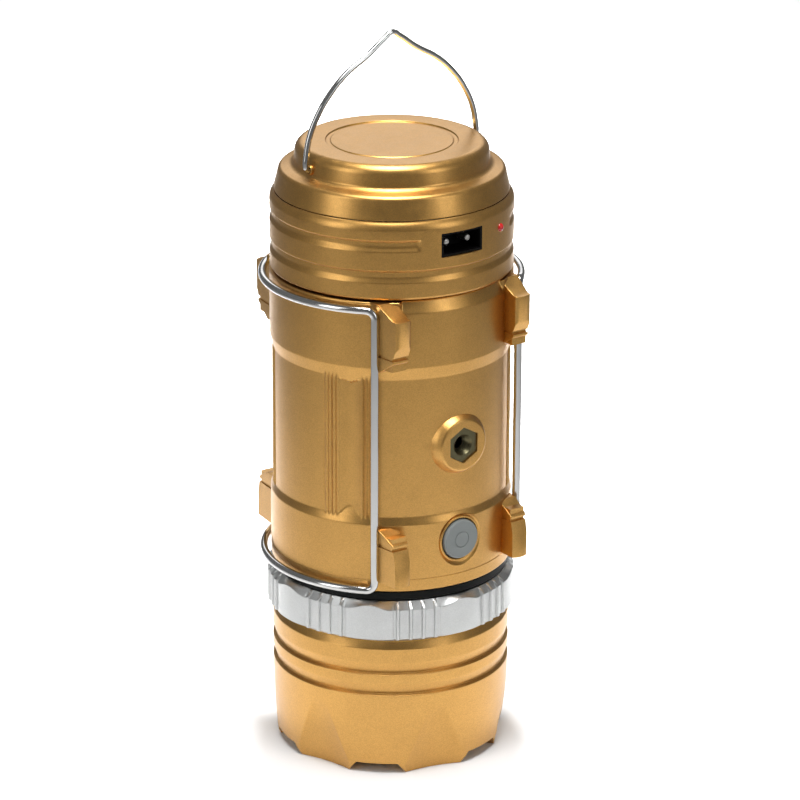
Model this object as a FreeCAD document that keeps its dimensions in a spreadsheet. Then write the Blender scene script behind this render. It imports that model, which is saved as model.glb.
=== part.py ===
import FreeCAD, Part
import math
import os

import Sketcher
from FreeCAD import Placement, Rotation, Vector

# Camping lantern with a torch at its foot: closed height about 218 mm without the bail.
# Frame: millimetres, +Z up, floor at the bezel teeth, axis of the body on Z, front (button) at -Y.

doc = FreeCAD.newDocument("Lantern")
sheet = doc.addObject("Spreadsheet::Sheet", "Sizes")

SIZES = {
    # overall and shared
    "body_radius": 42.0,
    "wall": 2.5,
    "slide_gap": 0.4,
    "turn_gap": 0.3,
    # torch head with its bezel
    "head_height": 50.2,
    "head_radius": "=body_radius - 0.5",
    "head_neck_radius": "=head_radius - 1.9",
    "head_cone_height": 2.8,
    "bezel_radius": "=head_radius - 1.2",
    "bezel_bore": "=bezel_radius - 5.1",
    "groove_upper": 37.9,
    "groove_lower": 30.1,
    "groove_slope": 3.8,
    "groove_depth": 1.3,
    "tooth_gap_depth": 3.6,
    "tooth_gap_width": 14.7,
    "tooth_gap_slant": 2.9,
    "tooth_gap_turn": 18.4,
    "tooth_gap_through": 20.0,
    "scoop_depth": 3.2,
    "scoop_drop": 10.0,
    "scoop_wall": 10.2,
    "scoop_lean": 40.0,
    "scoop_foot_radius": 30.1,
    "scoop_tip_radius": 3.2,
    "scoop_length": 22.4,
    # focusing ring, gasket
    "focus_height": 14.8,
    "focus_radius": "=body_radius + 0.6",
    "focus_rib_radius": "=focus_radius + 0.9",
    "focus_rib_width": 2.6,
    "focus_bevel": 2.4,
    "focus_rib_first": 13.5,
    "focus_rib_step": 6.0,
    "gasket_height": 3.2,
    "gasket_radius": "=body_radius - 0.8",
    # torch insides
    "core_radius": "=body_radius - 5.6",
    "core_wall": 1.5,
    "core_flange": "=core_radius + 1.6",
    "core_floor": 2.2,
    "carrier_wall": 1.5,
    "carrier_lip": 1.6,
    "carrier_bottom": 15.0,
    "pin_radius": 1.3,
    "pin_height": 61.6,
    "pin_reach": "=core_radius + 2",
    "focus_groove_radius": "=pin_reach + 0.5",
    "focus_travel": 7.5,
    "focus_turn": 100.0,
    "lens_edge": 2.6,
    "lens_crown": 9.0,
    "retainer_height": 1.6,
    "sink_radius": 14.0,
    "sink_height": 6.6,
    "torch_board_radius": 10.0,
    "board_thick": 1.6,
    "torch_led_size": 5.0,
    "torch_dome": 2.2,
    # casing
    "casing_height": 104.6,
    "waist_radius": "=body_radius - 0.9",
    "waist_low": 27.1,
    "waist_high": 76.8,
    "waist_slope_low": 2.5,
    "waist_slope_high": 4.3,
    "edge_break": 0.6,
    "floor_thick": 2.0,
    "floor_hole": 20.0,
    "rail_width": 3.0,
    "rim_cone": 4.4,
    "rim_cone_inset": 2.0,
    "rim_cone_half": 21.2,
    "guide_height": 7.0,
    "guide_drop": 0.8,
    # lugs
    "lug_offset": "=0.588 * body_radius",
    "lug_width": 6.0,
    "lug_reach": "=body_radius + 1.3",
    "lug_root": "=0.714 * body_radius",
    "lug_top": 2.4,
    "lug_fall": 2.3,
    "lug_face": 8.5,
    "lug_length": 29.0,
    "lug_low_start": 4.9,
    "lug_low_length": 21.5,
    "lug_notch": 0.9,
    "lug_notch_at": 0.28,
    # grip flutes
    "grip_angle": 55.0,
    "grip_radius": 7.0,
    "grip_depth": 0.7,
    # tripod boss and nut
    "nut_height": 120.3,
    "nut_flats": 11.1,
    "nut_thick": 5.0,
    "nut_sink": 0.7,
    "nut_bore": 2.55,
    "boss_base": 10.45,
    "boss_face": 9.05,
    "boss_reach": "=body_radius + 1.3",
    "boss_back": "=body_radius - 5.3",
    "boss_block": 16.0,
    # button and switch
    "button_height": 85.7,
    "button_radius": 7.0,
    "button_reach": "=body_radius + 0.6",
    "button_gap": 0.35,
    "button_flange": 7.8,
    "button_flange_back": "=body_radius - 5.1",
    "button_flange_thick": 1.2,
    "button_travel": 1.2,
    "dish_radius": 9.5,
    "lip_radius": 8.1,
    "switch_size": 6.0,
    "switch_thick": 3.5,
    "stem_radius": 1.75,
    "switch_board_width": 24.0,
    "switch_board_height": 14.0,
    # lower chamber
    "cell_radius": 9.2,
    "cell_length": 65.0,
    "cell_lift": "=cell_radius + 3.4",
    "cell_back": 8.0,
    "chassis_height": "=cell_lift + cell_radius + 2.4",
    "chassis_thick": 2.0,
    "post_radius": 3.0,
    "post_circle": "=core_radius - 3.4",
    "screw_radius": 1.25,
    "screw_head": 2.4,
    "screw_head_height": 1.4,
    "screw_length": 10.0,
    "tab_thick": 0.5,
    "tab_size": 12.0,
    "driver_length": 22.0,
    "driver_width": 12.0,
    # rising part: housing, cap, diffuser, lamp
    "seat_gap": 0.7,
    "housing_height": 27.2,
    "housing_radius": "=body_radius - 0.1",
    "housing_wall": 2.2,
    "band_depth": 0.8,
    "band_low": 6.1,
    "band_low_height": 4.3,
    "band_high": 17.0,
    "band_high_height": 3.8,
    "plain_half": 15.6,
    "plain_right": 26.0,
    "cap_height": 16.8,
    "cap_seam_radius": "=housing_radius - 1.5",
    "shoulder_radius": "=housing_radius - 4.5",
    "shoulder_height": 8.3,
    "disc_radius": "=shoulder_radius - 3.6",
    "disc_edge": 2.6,
    "cap_wall": 2.2,
    "ring_mark_radius": 22.6,
    "ring_mark_width": 1.6,
    "ring_mark_depth": 0.6,
    "spigot_height": 3.0,
    "cap_post_circle": "=housing_radius - 6.3",
    "diffuser_radius": "=body_radius - 7.4",
    "diffuser_wall": 1.6,
    "slider_lip": 1.0,
    "slider_rest": 2.6,
    "diffuser_length": "=casing_height + seat_gap - chassis_height - slider_lip - slider_rest",
    "slider_radius": "=diffuser_radius + 1.6",
    "slider_height": 5.0,
    "spigot_wall": 1.5,
    "reflector_thick": 1.0,
    "reflector_drop": 4.0,
    "column_radius": 9.0,
    "column_length": 54.0,
    "chip_size": 5.0,
    "chip_thick": 0.8,
    # charging
    "inlet_height": 18.2,
    "inlet_width": 16.7,
    "inlet_tall": 8.4,
    "inlet_wall": 0.8,
    "inlet_depth": 10.5,
    "inlet_face": "=housing_radius - 0.8",
    "inlet_back": 2.0,
    "inlet_pin_radius": 1.2,
    "inlet_pin_spacing": 8.7,
    "inlet_pin_tip": "=inlet_face - 2.6",
    "led_angle": 26.0,
    "led_height": 19.1,
    "led_radius": 1.5,
    "led_reach": "=housing_radius + 0.6",
    "charge_board_width": 40.0,
    "charge_board_depth": "=inlet_face + 4.9",
    "capacitor_radius": 5.0,
    "capacitor_length": 14.0,
    # bail
    "bail_radius": 1.0,
    "bail_span": "=disc_radius + 1.5",
    "bail_pivot": 11.5,
    "bail_rise": 42.8,
    "bail_fit": 0.08,
    "bail_stub": 3.6,
    "bail_bend": 1.5,
    # side frames
    "frame_wire": 1.4,
    "frame_radius": "=body_radius + 2.5",
    "frame_front": 45.9,
    "frame_rear": 145.0,
    "frame_top_drop": 2.2,
    "frame_low_rise": 1.6,
    "frame_corner": 3.0,
    "pintle_corner": 2.0,
    "pintle_length": 11.0,
    "pintle_fit": 0.08,
}


def fill_sheet():
    """Each size in a row of its own; a size written with = follows the ones above it."""
    for row, (alias, value) in enumerate(SIZES.items(), start=1):
        sheet.set("A%d" % row, alias)
        sheet.set("B%d" % row, str(value))
        sheet.setAlias("B%d" % row, alias)
    doc.recompute()


fill_sheet()

# Heights that several pieces share, each worked out from the sheet.
FOCUS_Z = "(S.head_height + S.turn_gap)"
GASKET_Z = "(S.head_height + 2 * S.turn_gap + S.focus_height)"
CASING_Z = "(S.head_height + 2 * S.turn_gap + S.focus_height + S.gasket_height)"
RIM_Z = "(%s + S.casing_height)" % CASING_Z
HOUSING_Z = "(%s + S.seat_gap)" % RIM_Z
CAP_Z = "(%s + S.housing_height)" % HOUSING_Z
TOP_Z = "(%s + S.cap_height)" % CAP_Z
CORE_ROOF = "(%s - S.core_floor)" % CASING_Z
CHASSIS_Z = "(%s + S.chassis_height)" % CASING_Z
BORE = "(S.body_radius - S.wall)"
SLIDER_Z = "(%s - S.diffuser_length - S.slider_lip)" % HOUSING_Z
HOUSING_FLOOR = "(%s + S.housing_wall)" % HOUSING_Z
CHARGE_BOARD_Z = "(%s + S.inlet_height - S.inlet_tall / 2 - S.board_thick)" % HOUSING_Z

nodes = []


def real(text):
    """The expression as FreeCAD reads it: S stands for the sheet."""
    return str(text).replace("S.", "Sizes.")


def value(text):
    """The number that an expression has now."""
    answer = sheet.evalExpression(real(text))
    return float(getattr(answer, "Value", answer))


def bind(item, **sizes):
    for name, text in sizes.items():
        item.setExpression(name, real(text))
    return item


def place(item, x=0, y=0, z=0, axis=None, angle=0):
    if axis:
        item.Placement = Placement(Vector(), Rotation(Vector(*axis), value(angle)))
        item.setExpression("Placement.Rotation.Angle", real(angle))
    for name, text in zip("xyz", (x, y, z)):
        item.setExpression("Placement.Base." + name, real(text))
    return item


def node(name, item):
    item.Label = name
    nodes.append(item)
    return item


# Sketched bodies


def sketch_on(body, role):
    plane = next(item for item in body.Origin.OriginFeatures if item.Role == role)
    sketch = body.newObject("Sketcher::SketchObject", body.Name + "_sketch")
    sketch.AttachmentSupport = [(plane, "")]
    sketch.MapMode = "FlatFace"
    return sketch


def outline(sketch, points):
    """A closed run of lines; each corner is held by two expressions."""
    corners = [Vector(value(x), value(y), 0) for x, y in points]
    count = len(corners)
    for i, corner in enumerate(corners):
        sketch.addGeometry(Part.LineSegment(corner, corners[(i + 1) % count]))
    for i in range(count):
        sketch.addConstraint(Sketcher.Constraint("Coincident", i, 2, (i + 1) % count, 1))
    for i, texts in enumerate(points):
        for kind, text in zip(("DistanceX", "DistanceY"), texts):
            limit = Sketcher.Constraint(kind, -1, 1, i, 1, value(text))
            index = sketch.addConstraint(limit)
            sketch.setExpression("Constraints[%d]" % index, real(text))


def revolved(name, points):
    """A body turned about Z from (radius, height) corners."""
    body = doc.addObject("PartDesign::Body", name)
    sketch = sketch_on(body, "XZ_Plane")
    outline(sketch, points)
    turn = body.newObject("PartDesign::Revolution", name + "_turn")
    turn.Profile = sketch
    turn.ReferenceAxis = (sketch, ["V_Axis"])
    turn.Angle = 360
    return body


def padded(name, role, points, length):
    """A body made by padding a closed outline to both sides of an origin plane."""
    body = doc.addObject("PartDesign::Body", name)
    sketch = sketch_on(body, role)
    outline(sketch, points)
    pad = body.newObject("PartDesign::Pad", name + "_pad")
    pad.Profile = sketch
    pad.Midplane = True
    bind(pad, Length=length)
    return body


def ring(name, outer, inner, low, high):
    return revolved(name, [(inner, low), (outer, low), (outer, high), (inner, high)])


# Part primitives and booleans


def cylinder(name, radius, length, x=0, y=0, z=0, axis=None, angle=0):
    item = doc.addObject("Part::Cylinder", name)
    bind(item, Radius=radius, Height=length)
    return place(item, x, y, z, axis, angle)


def cone(name, low, high, length, x=0, y=0, z=0, axis=None, angle=0):
    item = doc.addObject("Part::Cone", name)
    bind(item, Radius1=low, Radius2=high, Height=length)
    return place(item, x, y, z, axis, angle)


def box(name, length, width, height, x=0, y=0, z=0):
    """A box whose middle stands at x, y with its foot at z."""
    item = doc.addObject("Part::Box", name)
    bind(item, Length=length, Width=width, Height=height)
    return place(item, "%s - (%s) / 2" % (x, length), "%s - (%s) / 2" % (y, width), z)


def fuse(name, items):
    item = doc.addObject("Part::MultiFuse", name)
    item.Shapes = items
    return item


def cut(name, base, tool):
    item = doc.addObject("Part::Cut", name)
    item.Base = base
    item.Tool = tool
    return item


def common(name, items):
    item = doc.addObject("Part::MultiCommon", name)
    item.Shapes = items
    return item


def mirrored(name, source, normal):
    item = doc.addObject("Part::Mirroring", name)
    item.Source = source
    item.Normal = Vector(*normal)
    return item


def group(name, items):
    item = doc.addObject("Part::Compound", name)
    item.Links = items
    return item


def shaped(name, shape):
    item = doc.addObject("Part::Feature", name)
    item.Shape = shape
    return item


# Torch


def turned_copies(name, make, count, first, step):
    """Copies of a tool, each turned about Z."""
    copies = []
    for i in range(count):
        tool = group("%s%d" % (name, i), [make("%sTool%d" % (name, i))])
        copies.append(place(tool, axis=(0, 0, 1), angle="%s + %s * %d" % (first, step, i)))
    return copies


def tooth_gap(name):
    """A gap between two teeth, wider at the floor than at its roof."""
    slope = "S.tooth_gap_slant / S.tooth_gap_depth"
    half = "S.tooth_gap_width / 2"
    below = "S.wall"
    low = "(%s + S.tooth_gap_slant + %s * %s)" % (half, slope, below)
    gap = padded(name, "YZ_Plane", [
        ("-" + low, "-" + below),
        (low, "-" + below),
        (half, "S.tooth_gap_depth"),
        ("-" + half, "S.tooth_gap_depth"),
    ], "S.tooth_gap_through")
    return place(gap, x="S.bezel_radius")


def scoop(name):
    """A hollow in a tooth, wide at the floor, that runs out upwards."""
    lean = "S.scoop_lean"
    foot = "S.scoop_foot_radius"
    x = "S.bezel_radius - S.scoop_depth - S.scoop_drop * tan(S.scoop_wall) + %s * cos(%s)"
    z = "%s * sin(%s) - S.scoop_drop"
    return cone(name, foot, "S.scoop_tip_radius", "S.scoop_length",
                x % (foot, lean), "0", z % (foot, lean), (0, 1, 0), "-" + lean)


def torch_head():
    shell = revolved("HeadShell", [
        ("S.bezel_bore", "0"),
        ("S.bezel_radius", "0"),
        ("S.head_radius", "S.groove_lower"),
        ("S.head_radius - S.groove_depth", "S.groove_lower"),
        ("S.head_radius", "S.groove_lower + S.groove_slope"),
        ("S.head_radius", "S.groove_upper"),
        ("S.head_radius - S.groove_depth", "S.groove_upper"),
        ("S.head_radius", "S.groove_upper + S.groove_slope"),
        ("S.head_radius", "S.head_height - S.head_cone_height"),
        ("S.head_neck_radius", "S.head_height"),
        ("S.core_radius", "S.head_height"),
        ("S.core_radius", "S.groove_lower"),
        ("S.bezel_bore", "S.groove_lower - 4"),
    ])
    tools = turned_copies("ToothGap", tooth_gap, 6, "S.tooth_gap_turn - 90", "60")
    tools += turned_copies("Scoop", scoop, 6, "S.tooth_gap_turn - 60", "60")
    node("torch_head", cut("HeadCut", shell, fuse("HeadCutters", tools)))


def torch_core():
    """The fixed tube that the focusing ring turns on and the lens carrier slides in."""
    inner = "S.core_radius - S.core_wall"
    tube = revolved("CoreTube", [
        (inner, "S.groove_lower + 2"),
        ("S.core_radius", "S.groove_lower + 2"),
        ("S.core_radius", CORE_ROOF),
        ("S.core_flange", CORE_ROOF),
        ("S.core_flange", CASING_Z),
        ("3", CASING_Z),
        ("3", CORE_ROOF),
        (inner, CORE_ROOF),
    ])
    tools = turned_copies("CoreSlot", core_slot, 3, "30", "120")
    tools += turned_copies("CoreScrewHole", base_screw_seat, 3, "90", "120")
    node("torch_core", cut("CoreCut", tube, fuse("CoreCutters", tools)))


def core_slot(name):
    """A slot as long as the carrier's travel, with room for the pin at both ends."""
    room = "(S.pin_radius + S.turn_gap)"
    return box(name, "8", "2 * " + room, "S.focus_travel + 2 * " + room,
               "S.core_radius", "0", "S.pin_height - S.focus_travel - " + room)


def screw_hole(name):
    return cylinder(name, "S.screw_radius", "S.screw_length + 8",
                    "S.post_circle", "0", CORE_ROOF + " - 4")


def base_screw_seat(name):
    seat = cone(name + "Seat", "S.screw_head", "S.screw_radius", "S.screw_head_height",
                "S.post_circle", "0", CORE_ROOF)
    return fuse(name + "Whole", [screw_hole(name + "Bore"), seat])


def lens_carrier():
    outer = "(S.core_radius - S.core_wall - S.slide_gap)"
    inner = "(S.core_radius - S.core_wall - S.slide_gap - S.carrier_wall)"
    seat = "S.carrier_bottom + S.retainer_height + S.lens_edge"
    tube = revolved("CarrierTube", [
        (inner, "S.carrier_bottom"),
        (outer, "S.carrier_bottom"),
        (outer, "S.pin_height + 2"),
        (inner, "S.pin_height + 2"),
        (inner, seat + " + S.carrier_lip"),
        (inner + " - S.carrier_lip", seat + " + S.carrier_lip"),
        (inner + " - S.carrier_lip", seat),
        (inner, seat),
    ])
    pins = turned_copies("CarrierPin", carrier_pin, 3, "30", "120")
    node("lens_carrier", fuse("CarrierWithPins", [tube] + pins))


def carrier_pin(name):
    root = "S.core_radius - S.core_wall - S.slide_gap - S.carrier_wall / 2"
    return cylinder(name, "S.pin_radius", "S.pin_reach - (%s)" % root,
                    root, "0", "S.pin_height", axis=(0, 1, 0), angle="90")


def lens():
    """A plano-convex lens: flat side out, crown towards the diode."""
    edge = "(S.core_radius - S.core_wall - S.slide_gap - S.carrier_wall)"
    foot = "S.carrier_bottom + S.retainer_height"
    disc = cylinder("LensEdge", edge, "S.lens_edge", z=foot)
    ball = doc.addObject("Part::Sphere", "LensBall")
    rim = "(%s - S.carrier_lip)" % edge
    bind(ball, Radius="(%s * %s + S.lens_crown * S.lens_crown) / (2 * S.lens_crown)" % (rim, rim))
    top = "%s + S.lens_edge + S.lens_crown" % foot
    place(ball, z="%s - (%s * %s + S.lens_crown * S.lens_crown) / (2 * S.lens_crown)" % (top, rim, rim))
    above = cylinder("LensKeep", rim, "S.lens_crown + 5", z=foot + " + S.lens_edge")
    node("lens", fuse("LensBody", [disc, common("LensCrown", [ball, above])]))


def lens_retainer():
    outer = "S.core_radius - S.core_wall - S.slide_gap - S.carrier_wall"
    foot = "S.carrier_bottom"
    node("lens_retainer", revolved("RetainerRing", [
        (outer + " - S.carrier_lip - 1", foot),
        (outer, foot),
        (outer, foot + " + S.retainer_height"),
        (outer + " - S.carrier_lip", foot + " + S.retainer_height"),
    ]))


def torch_light():
    """Heat sink, board and diode under the roof of the core, facing down."""
    fins = [cylinder("SinkPlug", "S.sink_radius - 2", "S.sink_height", z=CORE_ROOF + " - S.sink_height")]
    for i in range(3):
        rise = "%s - S.sink_height + %d * S.sink_height / 3" % (CORE_ROOF, i)
        fins.append(cylinder("SinkFin%d" % i, "S.sink_radius", "S.sink_height / 6", z=rise))
    node("heat_sink", fuse("SinkBody", fins))
    board_z = "%s - S.sink_height - S.board_thick" % CORE_ROOF
    node("torch_board", cylinder("TorchBoardDisc", "S.torch_board_radius", "S.board_thick", z=board_z))
    base = box("TorchLedBase", "S.torch_led_size", "S.torch_led_size", "1", 0, 0, board_z + " - 1")
    dome = doc.addObject("Part::Sphere", "TorchLedDome")
    bind(dome, Radius="S.torch_dome", Angle1="-90", Angle2="0")
    place(dome, z=board_z + " - 1")
    node("torch_led", fuse("TorchLedBody", [base, dome]))


def focus_ring():
    """The ring turned by hand: vertical ribs in eight groups of four round its grip."""
    top = FOCUS_Z + " + S.focus_height"
    blank = revolved("FocusBlank", [
        ("S.core_radius + S.slide_gap", FOCUS_Z),
        ("S.focus_radius - 0.8", FOCUS_Z),
        ("S.focus_radius", FOCUS_Z + " + 0.8"),
        ("S.focus_radius", top + " - S.focus_bevel"),
        ("S.gasket_radius", top),
        ("S.core_radius + S.slide_gap", top),
    ])
    ribs = []
    for i in range(4):
        start = "S.focus_rib_first + %d * S.focus_rib_step - 90" % i
        ribs += turned_copies("FocusRib%d_" % i, focus_rib, 8, start, "45")
    solid = fuse("FocusSolid", [blank] + ribs)
    node("focus_ring", cut("FocusCut", solid, focus_grooves()))


def focus_rib(name):
    return box(name, "3", "S.focus_rib_width", "S.focus_height - 1.2 - S.focus_bevel / 2",
               "S.focus_rib_radius - 1.5", "0", FOCUS_Z + " + 1.2")


def focus_grooves():
    """Three slanting tracks in the ring that push the carrier's pins."""
    half = value("S.pin_radius + S.turn_gap")
    inner = value("S.core_radius - 2")
    reach = value("S.focus_groove_radius")
    travel = value("S.focus_travel")
    turn = value("S.focus_turn")
    spare = math.degrees(half / inner) + 0.5
    pitch = travel * 360 / turn
    low = value("S.pin_height") - travel - pitch * spare / 360
    section = Part.makePolygon([Vector(x, 0, z) for x, z in (
        (inner, -half), (reach, -half), (reach, half), (inner, half), (inner, -half))])
    track = Part.makeHelix(pitch, pitch * (turn + 2 * spare) / 360, inner)
    groove = Part.Wire(track).makePipeShell([section], True, True)
    tools = []
    for start in (30, 150, 270):
        tool = groove.copy()
        tool.translate(Vector(0, 0, low))
        tool.rotate(Vector(), Vector(0, 0, 1), start - turn - spare)
        tools.append(tool)
    return shaped("FocusGrooves", Part.makeCompound(tools))


def gasket_ring():
    node("gasket_ring", ring("GasketBody", "S.gasket_radius", "S.core_flange", GASKET_Z, CASING_Z))


# Casing


def lug_profile(kind):
    """Corners in (Y, Z) of a front lug, seen from the side, upper or lower."""
    reach = "-S.lug_reach"
    root = "-S.lug_root"
    if kind == "upper":
        top = RIM_Z + " - S.lug_top"
        face_top = "%s - S.lug_fall" % top
        face_low = "%s - S.lug_face" % face_top
        end = "%s - S.lug_length" % RIM_Z
        corners = [(root, top), (root + " - 2", top), (reach, face_top), (reach, face_low)]
    else:
        top = CASING_Z + " + 3"
        face_top = CASING_Z + " + S.lug_low_start"
        face_low = "%s + S.lug_face + 5" % face_top
        end = "%s + S.lug_low_start + S.lug_low_length" % CASING_Z
        corners = [(root, top), (root + " - 2", top), (reach, face_top), (reach, face_low)]
    slope = "((%s) - (%s))" % (end, face_low)
    depth = "(S.lug_reach - S.lug_root)"
    near = "%s + S.lug_notch_at * %s" % (face_low, slope)
    far = "%s + (S.lug_notch_at + 0.1) * %s" % (face_low, slope)
    corners += [
        ("%s + S.lug_notch_at * %s" % (reach, depth), near),
        ("%s + S.lug_notch_at * %s + S.lug_notch" % (reach, depth), near),
        ("%s + (S.lug_notch_at + 0.05) * %s" % (reach, depth), far),
        (root, end),
    ]
    return corners


def lugs():
    pair = []
    for kind in ("upper", "lower"):
        lug = padded("Lug_" + kind, "YZ_Plane", lug_profile(kind), "S.lug_width")
        pair.append(place(lug, x="S.lug_offset"))
    right = fuse("LugsRight", pair)
    front = fuse("LugsFront", [right, mirrored("LugsLeft", right, (1, 0, 0))])
    all_lugs = fuse("LugsAll", [front, mirrored("LugsBack", front, (0, 1, 0))])
    inside = cylinder("LugTrim", BORE, "S.casing_height + 20", z=CASING_Z + " - 10")
    return [cut("LugsTrimmed", all_lugs, inside)]


def pintle_spot(side):
    """x and y of a side frame's hinge line."""
    sine, cosine = "sin(S.frame_rear * 1deg)", "cos(S.frame_rear * 1deg)"
    x = "%d * (S.frame_radius * %s + S.pintle_corner * %s)" % (side, sine, cosine)
    y = "S.pintle_corner * %s - S.frame_radius * %s" % (sine, cosine)
    return x, y


def pintle_holes():
    """Upright holes in the back lugs that the side frames' ends turn in."""
    tools = []
    for side in (-1, 1):
        x, y = pintle_spot(side)
        low = "%s + S.frame_low_rise" % CASING_Z
        high = "%s - S.frame_top_drop" % RIM_Z
        radius = "S.frame_wire + S.pintle_fit"
        name = "Right" if side > 0 else "Left"
        tools.append(cylinder("PintleLow" + name, radius, "S.pintle_length + 0.5", x, y, low))
        tools.append(cylinder("PintleHigh" + name, radius, "S.pintle_length + 0.5", x, y,
                              high + " - S.pintle_length - 0.5"))
        room = "2 * S.frame_wire + 2 * S.turn_gap"
        tools.append(cylinder("SwingRoomHigh" + name, "8", "10", x, y,
                              high + " - S.frame_wire - S.turn_gap"))
        tools.append(cylinder("SwingRoomLow" + name, "8", room, x, y,
                              low + " - S.frame_wire - S.turn_gap"))
    keep = cylinder("SwingKeep", "S.body_radius + 0.3", "S.casing_height + 20", z=CASING_Z + " - 10")
    return cut("PintleCutters", fuse("PintleTools", tools), keep)


def boss_parts():
    boss = cone("BossCone", "S.boss_base", "S.boss_face", "S.boss_reach - S.body_radius + 3",
                0, "-S.body_radius + 3", "S.nut_height", axis=(1, 0, 0), angle="90")
    block = box("NutBlock", "S.boss_block", "S.body_radius - S.boss_back - 1", "S.boss_block",
                0, "-(S.body_radius - 1 + S.boss_back) / 2", "S.nut_height - S.boss_block / 2")
    return [boss, block]


def nut_prism(name, flats, length, front):
    """A hexagonal bar along Y, two corners level, from the front face inwards."""
    item = doc.addObject("Part::Prism", name)
    item.Polygon = 6
    bind(item, Circumradius="(%s) / sqrt(3)" % flats, Height=length)
    return place(item, 0, "-(%s)" % front, "S.nut_height", axis=(1, 0, 0), angle="-90")


def nut_pocket():
    deep = "S.nut_sink + S.nut_thick"
    return [
        nut_prism("NutPocket", "S.nut_flats + 0.1", deep + " + 0.5", "S.boss_reach + 0.5"),
        cylinder("NutBackHole", "S.nut_bore + 0.6", "12", 0, "-S.boss_reach - 1", "S.nut_height",
                 axis=(1, 0, 0), angle="-90"),
    ]


def tripod_nut():
    bar = nut_prism("NutBar", "S.nut_flats", "S.nut_thick", "S.boss_reach - S.nut_sink")
    bore = cylinder("NutBore", "S.nut_bore", "S.nut_thick + 2", 0, "-S.boss_reach", "S.nut_height",
                    axis=(1, 0, 0), angle="-90")
    mouth = cone("NutMouth", "S.nut_bore + 1.1", "S.nut_bore", "1.1", 0,
                 "-(S.boss_reach - S.nut_sink)", "S.nut_height", axis=(1, 0, 0), angle="-90")
    node("tripod_nut", cut("NutCut", bar, fuse("NutTools", [bore, mouth])))


def button_opening():
    hole = cylinder("ButtonHole", "S.button_radius + S.button_gap", "12", 0, "-S.body_radius - 3",
                    "S.button_height", axis=(1, 0, 0), angle="-90")
    dish = cylinder("ButtonDish", "S.dish_radius", "6", 0, "-S.body_radius - 5.6",
                    "S.button_height", axis=(1, 0, 0), angle="-90")
    lip = cylinder("ButtonLip", "S.lip_radius", "8", 0, "-S.body_radius - 6.6",
                   "S.button_height", axis=(1, 0, 0), angle="-90")
    return [hole, cut("DishRing", dish, lip)]


def grip_flute(name):
    return cylinder(name, "S.grip_radius", "S.waist_high - S.waist_low",
                    "S.waist_radius + S.grip_radius - S.grip_depth", "0", CASING_Z + " + S.waist_low")


def rim_cut():
    """The cone between the front lugs, and the same at the back."""
    low = RIM_Z + " - S.rim_cone"
    tall = "(S.rim_cone + 1)"
    narrow = "S.body_radius - S.rim_cone_inset * %s / S.rim_cone" % tall
    outside = cylinder("RimRing", "S.body_radius + 2", tall, z=low)
    inside = cone("RimCone", "S.body_radius", narrow, tall, z=low)
    sector = box("RimSector", "2 * S.rim_cone_half", "4 * S.body_radius", tall + " + 1", z=low + " - 0.5")
    return common("RimCut", [cut("RimTool", outside, inside), sector])


def casing():
    low = "%s + S.waist_low" % CASING_Z
    high = "%s + S.waist_high" % CASING_Z
    shell = revolved("CasingShell", [
        ("S.body_radius - S.edge_break", CASING_Z),
        ("S.body_radius", CASING_Z + " + S.edge_break"),
        ("S.body_radius", low + " - S.waist_slope_low"),
        ("S.waist_radius", low),
        ("S.waist_radius", high),
        ("S.body_radius", high + " + S.waist_slope_high"),
        ("S.body_radius", RIM_Z + " - S.edge_break"),
        ("S.body_radius - S.edge_break", RIM_Z),
        (BORE, RIM_Z),
        (BORE, CASING_Z + " + S.floor_thick"),
        ("S.floor_hole", CASING_Z + " + S.floor_thick"),
        ("S.floor_hole", CASING_Z),
    ])
    rails = turned_copies("GuideRail", guide_rail, 4, "45", "90")
    solid = fuse("CasingSolid", [shell] + lugs() + boss_parts() + rails)
    tools = [pintle_holes(), rim_cut()] + nut_pocket() + button_opening()
    tools += turned_copies("CasingScrewHole", screw_hole, 3, "90", "120")
    for i, angle in enumerate(("S.grip_angle", "-S.grip_angle", "180 - S.grip_angle", "180 + S.grip_angle")):
        flute = group("GripFlute%d" % i, [grip_flute("GripTool%d" % i)])
        tools.append(place(flute, axis=(0, 0, 1), angle="%s - 90" % angle))
    node("casing", cut("CasingCut", solid, fuse("CasingCutters", tools)))


def guide_rail(name):
    """An inner rib that keeps the rising part's slider central."""
    near = "(S.slider_radius + S.slide_gap)"
    far = "(S.body_radius - S.wall + 0.5)"
    return box(name, "%s - %s" % (far, near), "S.rail_width",
               "S.casing_height - S.chassis_height - S.guide_drop - S.guide_height - 2.5",
               "(%s + %s) / 2" % (near, far), "0", CHASSIS_Z + " + 2.5")


def guide_ring():
    """The collar inside the rim that the diffuser slides through and that stops it."""
    high = RIM_Z + " - S.guide_drop"
    node("guide_ring", ring("GuideBody", BORE, "S.diffuser_radius + S.slide_gap",
                            high + " - S.guide_height", high))


# Button and lower chamber


def along_y(name, radius, front, length, x="0", z="S.button_height"):
    """A cylinder that starts at a distance in front of the axis and goes inwards."""
    return cylinder(name, radius, length, x, "-(%s)" % front, z, axis=(1, 0, 0), angle="-90")


def button():
    cap = along_y("ButtonCap", "S.button_radius", "S.button_reach", "S.button_reach - S.button_flange_back")
    flange = along_y("ButtonFlange", "S.button_flange", "S.button_flange_back + S.button_flange_thick",
                     "S.button_flange_thick")
    mark = cut("ButtonMark", along_y("MarkOuter", "2.8", "S.button_reach + 1", "1.3"),
               along_y("MarkInner", "2.2", "S.button_reach + 2", "3"))
    node("button", cut("ButtonCut", fuse("ButtonBody", [cap, flange]), mark))


STEM_FRONT = "S.button_flange_back - S.button_travel - S.turn_gap"
SWITCH_FRONT = "S.button_flange_back - S.button_travel - S.turn_gap - 1.5"


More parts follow.
